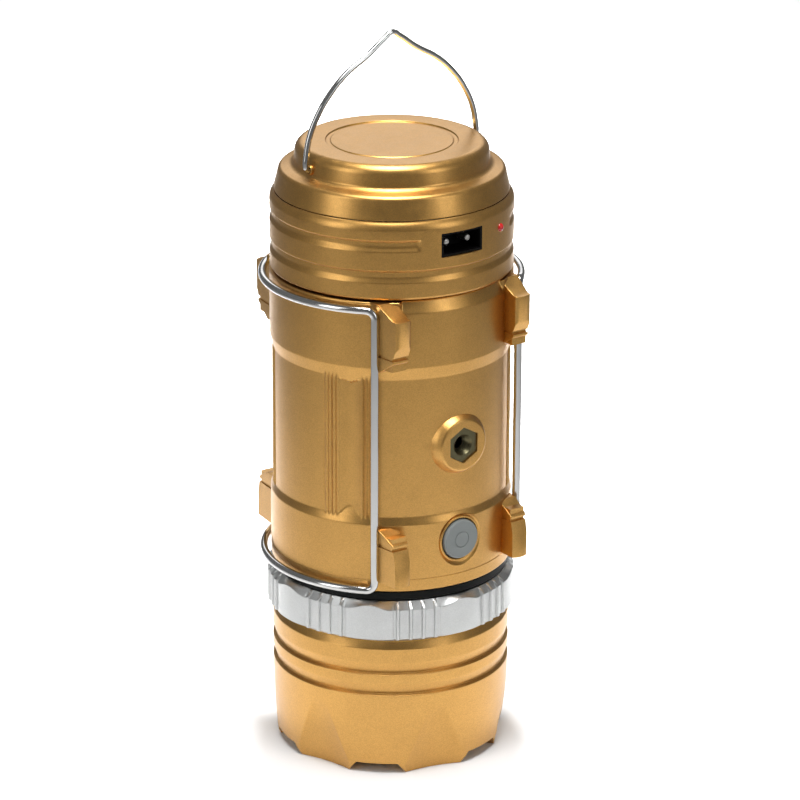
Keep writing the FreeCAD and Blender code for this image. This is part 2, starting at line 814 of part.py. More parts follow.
def switch_parts():
    stem = along_y("SwitchStem", "S.stem_radius", STEM_FRONT, "2")
    block = box("SwitchBlock", "S.switch_size", "S.switch_thick", "S.switch_size", 0,
                "-(%s) + S.switch_thick / 2" % SWITCH_FRONT, "S.button_height - S.switch_size / 2")
    node("push_switch", fuse("SwitchBody", [block, stem]))
    board = box("SwitchBoardPlate", "S.switch_board_width", "S.board_thick",
                "S.switch_board_height + 1", 0,
                "-(%s) + S.switch_thick + S.board_thick / 2" % SWITCH_FRONT,
                CHASSIS_Z + " - S.chassis_thick - S.switch_board_height - 1")
    node("switch_board", board)


def chassis():
    """The plate over the lower chamber, with posts that take the base screws."""
    top = CHASSIS_Z
    plate = cylinder("ChassisPlate", "%s - S.slide_gap / 2" % BORE, "S.chassis_thick",
                     z=top + " - S.chassis_thick")
    hole = cylinder("ChassisHole", "5", "S.chassis_thick + 2", 0, "-10", top + " - S.chassis_thick - 1")
    room = "(S.button_reach - S.button_flange_back + S.button_travel + S.turn_gap)"
    notch = box("ButtonNotch", "2 * S.button_flange + 1", "2 * " + room, "S.chassis_thick + 2", 0,
                "-S.button_reach", top + " - S.chassis_thick - 1")
    posts = turned_copies("ChassisPost", chassis_post, 3, "90", "120")
    bores = turned_copies("PostBore", screw_hole, 3, "90", "120")
    solid = fuse("ChassisSolid", [plate] + posts)
    node("chassis", cut("ChassisCut", solid, fuse("ChassisTools", [hole, notch] + bores)))


def chassis_post(name):
    foot = "%s + S.floor_thick" % CASING_Z
    return cylinder(name, "S.post_radius", "S.chassis_height - S.floor_thick - 1",
                    "S.post_circle", "0", foot)


def base_screw(name):
    foot = CORE_ROOF
    head = cone(name + "Head", "S.screw_head", "S.screw_radius", "S.screw_head_height",
                "S.post_circle", "0", foot)
    shank = cylinder(name + "Shank", "S.screw_radius", "S.screw_length", "S.post_circle", "0", foot)
    return fuse(name + "Whole", [head, shank])


def base_screws():
    node("base_screws", group("BaseScrews", turned_copies("BaseScrew", base_screw, 3, "90", "120")))


def battery():
    lift = "%s + S.cell_lift" % CASING_Z
    cell = cylinder("CellBody", "S.cell_radius", "S.cell_length", "-S.cell_length / 2", "S.cell_back", lift,
                    axis=(0, 1, 0), angle="90")
    node("battery_cell", cell)
    tabs = []
    for side in (-1, 1):
        x = "%d * (S.cell_length + S.tab_thick) / 2" % side
        tabs.append(box("BatteryTab%d" % (side + 1), "S.tab_thick", "S.tab_size", "S.tab_size", x,
                        "S.cell_back", lift + " - S.tab_size / 2"))
    node("battery_tabs", group("BatteryTabs", tabs))
    clips = []
    for side in (-1, 1):
        x = "%d * S.cell_length / 4" % side
        block = box("CellClip%d" % (side + 1), "8", "2 * S.cell_radius + 4", "S.cell_lift - S.floor_thick",
                    x, "S.cell_back", CASING_Z + " + S.floor_thick")
        seat = cylinder("CellSeat%d" % (side + 1), "S.cell_radius", "S.cell_length",
                        "-S.cell_length / 2", "S.cell_back", lift, axis=(0, 1, 0), angle="90")
        clips.append(cut("CellCradle%d" % (side + 1), block, seat))
    node("battery_cradles", group("BatteryCradles", clips))
    driver = box("DriverPlate", "S.driver_length", "S.driver_width", "S.board_thick", 0, "-17",
                 "%s + S.floor_thick" % CASING_Z)
    coil = cylinder("DriverCoil", "3.5", "4", "-4", "-17", "%s + S.floor_thick + S.board_thick" % CASING_Z)
    node("torch_driver", fuse("DriverBody", [driver, coil]))


# Rising part


def ring_housing():
    foot = HOUSING_Z
    band1 = foot + " + S.band_low"
    inner = "S.housing_radius - S.housing_wall"
    groove = "S.housing_radius - S.band_depth"
    shell = revolved("HousingShell", [
        ("3", foot),
        ("S.housing_radius - 0.5", foot),
        ("S.housing_radius", foot + " + 0.5"),
        ("S.housing_radius", band1),
        (groove, band1),
        (groove, band1 + " + S.band_low_height"),
        ("S.housing_radius", band1 + " + S.band_low_height"),
        ("S.housing_radius", CAP_Z + " - 1"),
        ("S.housing_radius - 1", CAP_Z),
        (inner, CAP_Z),
        (inner, HOUSING_FLOOR),
        ("3", HOUSING_FLOOR),
    ])
    spigot = ring("HousingSpigot", "S.diffuser_radius - S.diffuser_wall",
                  "S.diffuser_radius - S.diffuser_wall - S.spigot_wall",
                  HOUSING_Z + " - S.spigot_height", HOUSING_Z + " + 0.5")
    stands = turned_copies("BoardStand", board_stand, 3, "30", "120")
    solid = fuse("HousingSolid", [shell, spigot] + stands)
    tools = [high_band(), inlet_window(), led_hole()]
    tools += turned_copies("CapScrewHole", cap_screw_hole, 3, "90", "120")
    node("ring_housing", cut("HousingCut", solid, fuse("HousingTools", tools)))


def board_stand(name):
    return cylinder(name, "2", "(%s) - (%s)" % (CHARGE_BOARD_Z, HOUSING_FLOOR), "17", "0", HOUSING_FLOOR)


def high_band():
    """The upper recess, left out round the inlet and the charge lamp."""
    low = HOUSING_Z + " + S.band_high"
    band = ring("HighBand", "S.housing_radius + 1", "S.housing_radius - S.band_depth", low,
                low + " + S.band_high_height")
    width = "S.housing_radius * (sin(S.plain_half * 1deg + 6deg) + sin(S.plain_right * 1deg + 12deg))"
    x = "S.housing_radius * (sin(S.plain_right * 1deg + 12deg) - sin(S.plain_half * 1deg + 6deg)) / 2"
    plain = box("PlainZone", width, "30", "S.band_high_height + 2", x, "-S.housing_radius", low + " - 1")
    return cut("HighBandCut", band, plain)


def inlet_window():
    return box("InletWindow", "S.inlet_width", "14", "S.inlet_tall", 0, "-S.housing_radius - 1",
               "%s + S.inlet_height - S.inlet_tall / 2" % HOUSING_Z)


LED_Z = "%s + S.led_height" % HOUSING_Z


def led_rod(name, radius, near, length):
    """A round bar that points outwards at the charge lamp's angle."""
    bar = cylinder(name, radius, length, near, "0", LED_Z, axis=(0, 1, 0), angle="90")
    return place(group(name + "Turned", [bar]), axis=(0, 0, 1), angle="S.led_angle - 90")


def led_hole():
    return led_rod("LedHole", "S.led_radius + 0.05", "S.housing_radius - 6", "10")


def charge_led():
    root = "S.housing_radius - 7"
    bar = led_rod("LedBar", "S.led_radius", root, "S.led_reach - (%s) - S.led_radius / 2" % root)
    dome = doc.addObject("Part::Sphere", "LedDome")
    bind(dome, Radius="S.led_radius")
    x = "(S.led_reach - S.led_radius) * sin(S.led_angle * 1deg)"
    y = "-(S.led_reach - S.led_radius) * cos(S.led_angle * 1deg)"
    place(dome, x, y, LED_Z)
    node("charge_lamp", fuse("ChargeLamp", [bar, dome]))


def cap_screw_hole(name):
    shank = cylinder(name + "Bore", "S.screw_radius", "S.screw_length + 4", "S.cap_post_circle", "0",
                     HOUSING_Z + " - 1")
    seat = cone(name + "Seat", "S.screw_head", "S.screw_radius", "S.screw_head_height",
                "S.cap_post_circle", "0", HOUSING_Z)
    return fuse(name + "Whole", [shank, seat])


def cap_screw(name):
    shank = cylinder(name + "Shank", "S.screw_radius", "S.screw_length", "S.cap_post_circle", "0", HOUSING_Z)
    head = cone(name + "Head", "S.screw_head", "S.screw_radius", "S.screw_head_height",
                "S.cap_post_circle", "0", HOUSING_Z)
    return fuse(name + "Whole", [shank, head])


def cap_screws():
    node("cap_screws", group("CapScrews", turned_copies("CapScrew", cap_screw, 3, "90", "120")))


def cap_post(name):
    return cylinder(name, "S.post_radius", "S.housing_height - S.housing_wall + S.cap_wall",
                    "S.cap_post_circle", "0", HOUSING_FLOOR)


def top_cap():
    wall = "S.cap_wall"
    base = CAP_Z + " + S.shoulder_height"
    spigot = "S.housing_radius - S.housing_wall"
    shell = revolved("CapShell", [
        (spigot + " - " + wall, CAP_Z + " - S.spigot_height"),
        (spigot, CAP_Z + " - S.spigot_height"),
        (spigot, CAP_Z),
        ("S.cap_seam_radius", CAP_Z),
        ("S.cap_seam_radius", CAP_Z + " + 0.8"),
        ("S.shoulder_radius + 1.4", base + " - 2"),
        ("S.shoulder_radius", base),
        ("S.disc_radius + 0.8", base),
        ("S.disc_radius", base + " + 0.8"),
        ("S.disc_radius", TOP_Z + " - S.disc_edge"),
        ("S.disc_radius - S.disc_edge / 3", TOP_Z + " - S.disc_edge / 3"),
        ("S.disc_radius - S.disc_edge", TOP_Z),
        ("S.ring_mark_radius", TOP_Z),
        ("S.ring_mark_radius - S.ring_mark_width / 2", TOP_Z + " - S.ring_mark_depth"),
        ("S.ring_mark_radius - S.ring_mark_width", TOP_Z),
        ("0", TOP_Z),
        ("0", TOP_Z + " - " + wall),
        ("S.disc_radius - " + wall, TOP_Z + " - " + wall),
        ("S.disc_radius - " + wall, base + " - " + wall),
        (spigot + " - " + wall, CAP_Z + " + 1"),
    ])
    posts = turned_copies("CapPost", cap_post, 3, "90", "120")
    tools = turned_copies("CapPostBore", cap_screw_hole, 3, "90", "120")
    bores = bail_bore()
    node("top_cap", cut("CapCut", fuse("CapSolid", [shell] + posts), fuse("CapTools", tools + [bores])))


PIVOT_Z = "%s + S.bail_pivot" % CAP_Z


def bail_bore():
    half = "S.disc_radius + 2"
    return cylinder("BailBore", "S.bail_radius + S.bail_fit", "2 * (%s)" % half, "-(%s)" % half, "0",
                    PIVOT_Z, axis=(0, 1, 0), angle="90")


def swept(path, radius, start, way):
    """A round wire along a path that starts at a point in a direction."""
    circle = Part.Wire([Part.makeCircle(radius, start, way)])
    pipe = Part.Wire(path).makePipeShell([circle], True, False)
    if pipe.ShapeType != "Solid":
        pipe = Part.makeSolid(pipe)
    return pipe


def bail():
    """The pointed wire hanger: two straight stubs in the cap, two ogee arms, one round peak."""
    span = value("S.bail_span")
    pivot = value(PIVOT_Z)
    rise = value("S.bail_rise")
    inner = value("S.disc_radius - S.bail_stub")
    bend = value("S.bail_bend")
    arm = [(0.995, 0.1), (0.955, 0.264), (0.864, 0.425), (0.722, 0.584), (0.527, 0.729),
           (0.266, 0.855), (0.085, 0.962)]
    rising = [Vector(span, 0, pivot + bend)] + [Vector(span * u, 0, pivot + rise * v) for u, v in arm]
    top = Vector(0, 0, pivot + rise)
    points = rising + [top] + [Vector(-p.x, 0, p.z) for p in reversed(rising)]
    curve = Part.BSplineCurve()
    curve.interpolate(Points=points)
    up = Vector(0, 0, 1)
    first = Vector(span, 0, pivot)
    last = Vector(-span, 0, pivot)
    edges = [
        Part.makeLine(Vector(inner, 0, pivot), first - Vector(bend, 0, 0)),
        Part.Arc(first - Vector(bend, 0, 0), first + Vector(bend * (0.7071 - 1), 0, bend * (1 - 0.7071)),
                 first + up * bend).toShape(),
        curve.toShape(),
        Part.Arc(last + up * bend, last + Vector(bend * (1 - 0.7071), 0, bend * (1 - 0.7071)),
                 last + Vector(bend, 0, 0)).toShape(),
        Part.makeLine(last + Vector(bend, 0, 0), Vector(-inner, 0, pivot)),
    ]
    wire = swept(edges, value("S.bail_radius"), Vector(inner, 0, pivot), Vector(1, 0, 0))
    node("bail", shaped("BailWire", wire))


def bent_wire(radius, spot, way, moves):
    """A wire that starts at a spot and runs straight or bends about an axis, move by move."""
    pieces = []
    for move in moves:
        face = Part.Face(Part.Wire(Part.makeCircle(radius, spot, way)))
        if len(move) == 1:
            run = way * move[0]
            pieces.append(face.extrude(run))
            spot = spot + run
        else:
            axis, bend_radius, angle = move
            centre = spot + axis.cross(way) * bend_radius
            pieces.append(face.revolve(centre, axis, angle))
            turn = Rotation(axis, angle)
            spot = centre + turn.multVec(spot - centre)
            way = turn.multVec(way)
    return pieces[0].fuse(pieces[1:])


def side_frame(side):
    """A wire gate: pintles in the back lugs, two level arcs and an upright at the front."""
    radius = value("S.frame_radius")
    low = value("%s + S.frame_low_rise" % CASING_Z)
    high = value("%s - S.frame_top_drop" % RIM_Z)
    corner = value("S.frame_corner")
    bend = value("S.pintle_corner")
    pintle = value("S.pintle_length")
    sweep = value("S.frame_rear - S.frame_front")
    rear = math.radians(value("S.frame_rear"))
    front = math.radians(value("S.frame_front"))

    def outward(angle):
        return Vector(side * math.sin(angle), -math.cos(angle), 0)

    up = Vector(0, 0, 1)
    start = Vector(value(pintle_spot(side)[0]), value(pintle_spot(side)[1]), low + pintle)
    forward = Vector(-side * math.cos(rear), -math.sin(rear), 0)
    first = (up * -1).cross(forward)
    last = outward(front) * -side
    moves = [
        (pintle - bend,),
        (first, bend, 90),
        (up * -side, radius, sweep),
        (last, corner, 90),
        (high - low - 2 * corner,),
        (last, corner, 90),
        (up * side, radius, sweep),
        (first, bend, 90),
        (pintle - bend,),
    ]
    return bent_wire(value("S.frame_wire"), start, up * -1, moves)


def side_frames():
    node("left_frame", shaped("LeftFrame", side_frame(-1)))
    node("right_frame", shaped("RightFrame", side_frame(1)))


def diffuser():
    foot = SLIDER_Z + " + S.slider_lip"
    node("diffuser", ring("DiffuserTube", "S.diffuser_radius", "S.diffuser_radius - S.diffuser_wall",
                          foot, HOUSING_Z))
    node("slider_ring", revolved("SliderBody", [
        ("S.diffuser_radius - S.diffuser_wall", SLIDER_Z),
        ("S.slider_radius", SLIDER_Z),
        ("S.slider_radius", SLIDER_Z + " + S.slider_height"),
        ("S.diffuser_radius", SLIDER_Z + " + S.slider_height"),
        ("S.diffuser_radius", foot),
        ("S.diffuser_radius - S.diffuser_wall", foot),
    ]))


def lamp():
    """The lit column under the housing floor, with three chips on each of six faces."""
    column_foot = HOUSING_Z + " - S.column_length"
    column = doc.addObject("Part::Prism", "LampColumn")
    column.Polygon = 6
    bind(column, Circumradius="S.column_radius", Height="S.column_length")
    node("lamp_column", place(column, z=column_foot))
    flat = "S.column_radius * cos(30deg)"
    chips = []
    for level in range(3):
        rise = "%s + S.column_length * %s" % (column_foot, ("0.12", "0.4", "0.68")[level])

        def chip(name, rise=rise):
            return box(name, "S.chip_thick", "S.chip_size", "S.chip_size",
                       flat + " + S.chip_thick / 2", "0", rise)

        chips += turned_copies("Chip%d_" % level, chip, 6, "30", "60")
    node("lamp_chips", group("LampChips", chips))
    outer = "S.diffuser_radius - S.diffuser_wall - S.spigot_wall - S.slide_gap"
    node("lamp_reflector", revolved("LampReflector", [
        ("S.column_radius + 0.6", HOUSING_Z + " - S.reflector_thick"),
        (outer, HOUSING_Z + " - S.reflector_drop - S.reflector_thick"),
        (outer, HOUSING_Z + " - S.reflector_drop"),
        ("S.column_radius + 0.6", HOUSING_Z),
    ]))


def charging():
    mid = "%s + S.inlet_height" % HOUSING_Z
    foot = mid + " - S.inlet_tall / 2"
    body = box("InletBody", "S.inlet_width - 0.1", "S.inlet_depth", "S.inlet_tall - 0.1", 0,
               "-S.inlet_face + S.inlet_depth / 2", foot + " + 0.05")
    well = box("InletWell", "S.inlet_width - 2 * S.inlet_wall", "S.inlet_depth",
               "S.inlet_tall - 2 * S.inlet_wall", 0,
               "-S.inlet_face + S.inlet_depth / 2 - S.inlet_back", foot + " + S.inlet_wall")
    holes = []
    pins = []
    for side in (-1, 1):
        x = "%d * S.inlet_pin_spacing / 2" % side
        length = "S.inlet_pin_tip - S.inlet_face + S.inlet_depth"
        holes.append(along_y("InletHole%d" % (side + 1), "S.inlet_pin_radius", "S.inlet_pin_tip", "20", x, mid))
        pin = along_y("InletPin%d" % (side + 1), "S.inlet_pin_radius", "S.inlet_pin_tip - 0.6",
                      length + " - 0.6", x, mid)
        tip = along_y("InletTip%d" % (side + 1), "S.inlet_pin_radius - 0.45", "S.inlet_pin_tip", "1", x, mid)
        pins.append(fuse("InletPinWhole%d" % (side + 1), [pin, tip]))
    node("inlet_body", cut("InletShell", body, fuse("InletTools", [well] + holes)))
    node("inlet_pins", group("InletPins", pins))
    board = box("ChargeBoardPlate", "S.charge_board_width", "S.charge_board_depth", "S.board_thick", 0,
                "-S.inlet_face + S.inlet_depth - 3 + S.charge_board_depth / 2", CHARGE_BOARD_Z)
    node("charge_board", board)
    lift = "%s + S.board_thick" % CHARGE_BOARD_Z
    can = cylinder("CapacitorCan", "S.capacitor_radius", "S.capacitor_length", "-12", "-8",
                   lift + " + S.capacitor_radius", axis=(0, 1, 0), angle="90")
    node("capacitor", can)


torch_head()
torch_core()
lens_carrier()
lens()
lens_retainer()
torch_light()
focus_ring()
gasket_ring()
casing()
guide_ring()
tripod_nut()
button()
switch_parts()
chassis()
base_screws()
battery()
ring_housing()
top_cap()
cap_screws()
bail()
side_frames()
diffuser()
lamp()
charging()
charge_led()


def faults():
    for item in doc.Objects:
        if "Invalid" in item.State or "Error" in item.State:
            yield "%s: %s" % (item.Name, item.State)
    for item in nodes:
        if item.Shape.isNull() or not item.Shape.isValid() or not item.Shape.Solids:
            yield "%s has no valid solid" % item.Label


def write_parts():
    doc.recompute()
    found = list(faults())
    if found:
        raise RuntimeError("; ".join(found))
    os.makedirs("parts", exist_ok=True)
    for item in nodes:
        item.Shape.exportStep("parts/%s.step" % item.Label)


write_parts()
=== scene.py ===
import math

import bmesh
import bpy
from mathutils import Matrix, Quaternion, Vector


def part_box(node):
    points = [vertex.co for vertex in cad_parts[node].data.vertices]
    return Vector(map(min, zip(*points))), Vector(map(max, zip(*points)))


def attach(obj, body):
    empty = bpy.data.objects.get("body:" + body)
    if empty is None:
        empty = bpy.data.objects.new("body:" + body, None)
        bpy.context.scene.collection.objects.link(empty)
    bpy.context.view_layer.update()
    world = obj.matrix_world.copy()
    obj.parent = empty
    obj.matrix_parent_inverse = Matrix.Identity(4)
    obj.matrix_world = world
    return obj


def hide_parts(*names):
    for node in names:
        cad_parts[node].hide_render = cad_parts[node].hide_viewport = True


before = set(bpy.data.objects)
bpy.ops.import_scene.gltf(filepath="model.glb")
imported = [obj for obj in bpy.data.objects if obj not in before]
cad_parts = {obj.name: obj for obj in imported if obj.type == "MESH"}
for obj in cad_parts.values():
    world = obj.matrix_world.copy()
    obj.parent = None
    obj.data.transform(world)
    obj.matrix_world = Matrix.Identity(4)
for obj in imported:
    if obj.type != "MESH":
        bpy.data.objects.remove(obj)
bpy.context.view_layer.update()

bl_info = {
    "name": "Pull-up lantern",
    "version": (1, 0, 0),
    "blender": (4, 5, 0),
    "location": "View3D > Sidebar > Lantern",
    "description": "Builds the outside and the finishes of a pull-up camping lantern round its CAD frame",
    "category": "Object",
}

MM = 0.001
SEAM = 0.002  # points of a turned shape that are closer than this, in millimetres, are joined


def box_mm(node):
    """The lowest and highest corners of a CAD node in millimetres."""
    low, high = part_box(node)
    return low / MM, high / MM


# Sizes and colours


def length(name, description, default):
    return bpy.props.FloatProperty(
        name=name, description=description, default=default, unit="LENGTH", precision=5)


def angle(name, description, degrees):
    return bpy.props.FloatProperty(
        name=name, description=description, default=math.radians(degrees), subtype="ANGLE")


def colour(name, description, default):
    return bpy.props.FloatVectorProperty(
        name=name, description=description, default=default, size=3, min=0, max=1, subtype="COLOR")


class LanternSizes(bpy.types.PropertyGroup):
    casing_radius: length("Casing radius", "Outside of the casing above and below its waist", 0.042)
    waist_radius: length("Waist radius", "Outside of the casing between its two chamfers", 0.0411)
    scallop_depth: length("Scallop depth", "How far each finger scallop goes in", 0.0011)
    ridge_height: length("Ridge height", "How far the fine grip ridges stand up", 0.00045)
    ridge_pitch: angle("Ridge pitch", "Turn from one grip ridge to the next", 2.05)
    band_depth: length("Band depth", "Depth of the two bands round the ring housing", 0.0008)
    rib_height: length("Rib height", "How far the ribs stand out of the focusing ring", 0.0007)
    thread_pitch: length("Thread pitch", "Pitch of the thread in the tripod nut", 0.00127)
    wire_radius: length("Side wire radius", "Half the thickness of the side frames' wire", 0.0014)
    bail_radius: length("Bail wire radius", "Half the thickness of the bail's wire", 0.001)


class LanternColours(bpy.types.PropertyGroup):
    gold: colour("Gold", "Colour of the gold paint", (0.595, 0.328, 0.088))
    silver: colour("Silver", "Colour of the silver paint", (0.56, 0.57, 0.565))
    silicone: colour("Button", "Colour of the button's silicone", (0.235, 0.255, 0.25))
    nut: colour("Nut", "Colour of the tripod nut's metal", (0.15, 0.135, 0.075))
    lamp: colour("Charge lamp", "Colour of the charge lamp's dome", (0.62, 0.012, 0.01))
    floor: colour("Floor", "Colour of the studio floor", (0.92, 0.92, 0.92))


def sizes():
    return bpy.context.scene.lantern_sizes


def colours():
    return bpy.context.scene.lantern_colours


# Shader building


class Wire:
    """A value that varies over a surface: one output of a node."""

    def __init__(self, nodes, socket):
        self.nodes, self.socket = nodes, socket

    def maths(self, operation, first, second):
        return self.nodes.add("ShaderNodeMath", {"operation": operation}, {0: first, 1: second})

    def __add__(self, other):
        return self.maths("ADD", self, other)

    def __mul__(self, other):
        return self.maths("MULTIPLY", self, other)


class Finish:
    """A material's node tree, built one node at a time."""

    def __init__(self, name):
        self.material = bpy.data.materials.new(name)
        self.material.use_nodes = True
        self.tree = self.material.node_tree
        self.tree.nodes.clear()
        self.place = self.add("ShaderNodeTexCoord", output="Object")

    def add(self, kind, settings=None, sockets=None, output=0):
        """Adds a node: its settings first, then the values or links of its sockets."""
        made = self.tree.nodes.new(kind)
        for key, value in (settings or {}).items():
            setattr(made, key, value)
        for key, value in (sockets or {}).items():
            if isinstance(value, Wire):
                self.tree.links.new(value.socket, made.inputs[key])
            else:
                made.inputs[key].default_value = value
        return Wire(self, made.outputs[output])

    def noise(self, size_mm, detail=2.0, roughness=0.5, stretch=(1, 1, 1)):
        """Even noise whose features are about size_mm across."""
        place = self.place
        if stretch != (1, 1, 1):
            place = self.add("ShaderNodeMapping", {}, {"Vector": place, "Scale": stretch})
        return self.add("ShaderNodeTexNoise", {}, {
            "Vector": place, "Scale": 1 / (size_mm * MM), "Detail": detail, "Roughness": roughness})

    def flakes(self, size_mm):
        """One random grey for each flake of a metallic paint."""
        cells = self.add("ShaderNodeTexVoronoi", {}, {
            "Vector": self.place, "Scale": 1 / (size_mm * MM)}, output="Color")
        return self.add("ShaderNodeSeparateColor", {}, {"Color": cells})

    def spread(self, wire, low, high):
        """The wire, whose values lie about 0.3 to 0.7, spread from low to high."""
        return self.add("ShaderNodeMapRange", {}, {
            "Value": wire, "From Min": 0.3, "From Max": 0.7, "To Min": low, "To Max": high})

    def blend(self, amount, first, second):
        """A colour between two colours."""
        return self.add("ShaderNodeMix", {"data_type": "RGBA"}, {
            "Factor": amount, "A": shade(first), "B": shade(second)}, output="Result")

    def bump(self, height, depth_mm, strength=1.0, under=None):
        links = {"Height": height, "Distance": depth_mm * MM, "Strength": strength}
        if under:
            links["Normal"] = under
        return self.add("ShaderNodeBump", {}, links)

    def surface(self, **sockets):
        """The shader itself. Underscores in the names stand for spaces."""
        sockets = {key.replace("_", " "): value for key, value in sockets.items()}
        for key in ("Base Color", "Emission Color"):
            if key in sockets:
                sockets[key] = shade(sockets[key])
        shader = self.add("ShaderNodeBsdfPrincipled", {}, sockets)
        end = self.tree.nodes.new("ShaderNodeOutputMaterial")
        self.tree.links.new(shader.socket, end.inputs["Surface"])
        return self.material


def shade(value):
    """A colour of three numbers as a socket's four. Links pass through."""
    return value if isinstance(value, Wire) else (*value, 1)


def darker(tint, share):
    return tuple(part * share for part in tint)


def metallic_paint(name, tint, flake_mm, rough, sparkle):
    """Satin paint full of fine metal flakes, with a slight orange peel."""
    finish = Finish(name)
    flake = finish.flakes(flake_mm)
    cloud = finish.noise(9.0, 3.0)
    tone = finish.spread(flake, 0.5 - sparkle, 0.5 + sparkle) * 0.8 + finish.spread(cloud, 0.0, 0.2)
    peel = finish.bump(finish.noise(0.9, 2.0), 0.006, 0.5)
    grain = finish.bump(flake, 0.004, 0.35, peel)
    return finish.surface(
        Base_Color=finish.blend(tone, darker(tint, 0.86), darker(tint, 1.14)),
        Metallic=1.0, Normal=grain, Coat_Weight=0.35, Coat_Roughness=0.3,
        Roughness=finish.spread(finish.noise(3.0, 3.0), rough - 0.03, rough + 0.03))


def gold_paint():
    return metallic_paint("Gold paint", colours().gold, 0.22, 0.36, 0.35)


def silver_paint():
    return metallic_paint("Silver paint", colours().silver, 0.2, 0.38, 0.2)


def bright_wire():
    """Chromed wire with faint drawing marks and a few duller patches."""
    finish = Finish("Bright wire")
    dull = finish.noise(14.0, 4.0)
    marks = finish.noise(0.5, 2.0, 0.6, (1, 1, 0.05))
    return finish.surface(
        Base_Color=finish.blend(dull, (0.5, 0.5, 0.49), (0.64, 0.64, 0.64)),
        Metallic=1.0, Roughness=finish.spread(dull, 0.07, 0.14),
        Normal=finish.bump(marks, 0.004, 0.25))


def metal(name, tint, rough, grain_mm, stretch=(1, 1, 1)):
    """Bare or plated metal with a fine grain."""
    finish = Finish(name)
    grain = finish.noise(grain_mm, 3.0, 0.6, stretch)
    stain = finish.noise(6.0, 4.0)
    return finish.surface(
        Base_Color=finish.blend(stain, darker(tint, 0.8), tint), Metallic=1.0,
        Roughness=finish.spread(grain, rough - 0.05, rough + 0.08),
        Normal=finish.bump(grain, 0.01, 0.3))


def plastic(name, tint, rough, grain_mm=0.35, grain_depth=0.012, shine=0.5):
    """Moulded plastic or rubber with a fine texture."""
    finish = Finish(name)
    grain = finish.noise(grain_mm, 2.0)
    cloud = finish.noise(11.0, 3.0)
    return finish.surface(
        Base_Color=finish.blend(cloud, darker(tint, 0.88), tint),
        Roughness=finish.spread(cloud, rough - 0.05, rough + 0.05),
        Specular_IOR_Level=shine, Normal=finish.bump(grain, grain_depth, 0.5))


def clear_plastic(name, tint, rough, grain_depth):
    finish = Finish(name)
    grain = finish.noise(0.8, 2.0)
    return finish.surface(
        Base_Color=finish.blend(grain, darker(tint, 0.96), tint),
        Roughness=finish.spread(grain, rough, rough + 0.06),
        Transmission_Weight=1.0, IOR=1.49, Normal=finish.bump(grain, grain_depth, 0.5))


def circuit_board():
    """Green solder mask with the faint paths of its copper."""
    finish = Finish("Circuit board")
    tracks = finish.add("ShaderNodeTexBrick", {"offset": 0.35}, {
        "Vector": finish.place, "Scale": 160.0, "Mortar Size": 0.08, "Color1": (0, 0, 0, 1),
        "Color2": (0.25, 0.25, 0.25, 1), "Mortar": (1, 1, 1, 1)}, output="Fac")
    return finish.surface(
        Base_Color=finish.blend(tracks, (0.012, 0.11, 0.035), (0.03, 0.2, 0.075)),
        Roughness=finish.spread(finish.noise(4.0), 0.25, 0.35), Coat_Weight=0.4,
        Normal=finish.bump(tracks, 0.03, 0.4))


def charge_red():
    finish = Finish("Charge lamp red")
    depth = finish.noise(1.5)
    return finish.surface(
        Base_Color=finish.blend(depth, darker(colours().lamp, 0.8), colours().lamp),
        Roughness=finish.spread(depth, 0.1, 0.18), Coat_Weight=0.5,
        Normal=finish.bump(depth, 0.01, 0.2))


MAKERS = {
    "gold_paint": gold_paint,
    "silver_paint": silver_paint,
    "bright_wire": bright_wire,
    "nut_metal": lambda: metal("Nut metal", colours().nut, 0.34, 0.4),
    "grey_silicone": lambda: plastic("Grey silicone", colours().silicone, 0.5, 0.3, 0.01),
    "black_rubber": lambda: plastic("Black rubber", (0.005, 0.006, 0.005), 0.5, 0.4, shine=0.12),
    "black_plastic": lambda: plastic("Black plastic", (0.004, 0.004, 0.004), 0.45, 0.5, shine=0.1),
    "white_plastic": lambda: plastic("White plastic", (0.78, 0.78, 0.76), 0.4),
    "frosted_plastic": lambda: clear_plastic("Frosted plastic", (0.93, 0.95, 0.95), 0.3, 0.03),
    "clear_lens": lambda: clear_plastic("Clear lens", (0.97, 0.98, 0.98), 0.02, 0.002),
    "contact_metal": lambda: metal("Contact metal", (0.72, 0.7, 0.66), 0.42, 0.3),
    "screw_steel": lambda: metal("Screw steel", (0.42, 0.42, 0.43), 0.3, 0.25),
    "circuit_board": circuit_board,
    "aluminium_sink": lambda: metal("Turned aluminium", (0.68, 0.68, 0.7), 0.28, 0.3, (1, 1, 12)),
    "mirror_plastic": lambda: metal("Mirror coating", (0.86, 0.86, 0.87), 0.1, 2.0),
    "led_yellow": lambda: plastic("Lamp phosphor", (0.78, 0.6, 0.08), 0.35, 0.2),
    "led_red": charge_red,
    "cell_wrap": lambda: plastic("Cell wrap", (0.02, 0.1, 0.32), 0.22, 1.2),
    "capacitor_sleeve": lambda: plastic("Capacitor sleeve", (0.02, 0.022, 0.06), 0.2, 0.8),
}
FINISHES = {}


def finish_of(slot):
    """The finish of one of the record's material slots, made when it is first asked for."""
    if slot not in FINISHES:
        FINISHES[slot] = MAKERS[slot]()
    return FINISHES[slot]


# Mesh building, in millimetres until a piece is finished


def outline(bm, points, closed=True):
    """A wire outline in the XZ plane. A third number on a point is the radius of its corner."""
    verts = [bm.verts.new((point[0], 0, point[1])) for point in points]
    for pair in zip(verts, verts[1:]):
        bm.edges.new(pair)
    if closed and points[0][0] + points[-1][0] > 0:
        bm.edges.new((verts[-1], verts[0]))
    for vert, point in zip(verts, points):
        if len(point) == 3:
            bmesh.ops.bevel(bm, geom=[vert], offset=point[2], offset_type="OFFSET", segments=5,
                            profile=0.5, affect="VERTICES", material=-1)


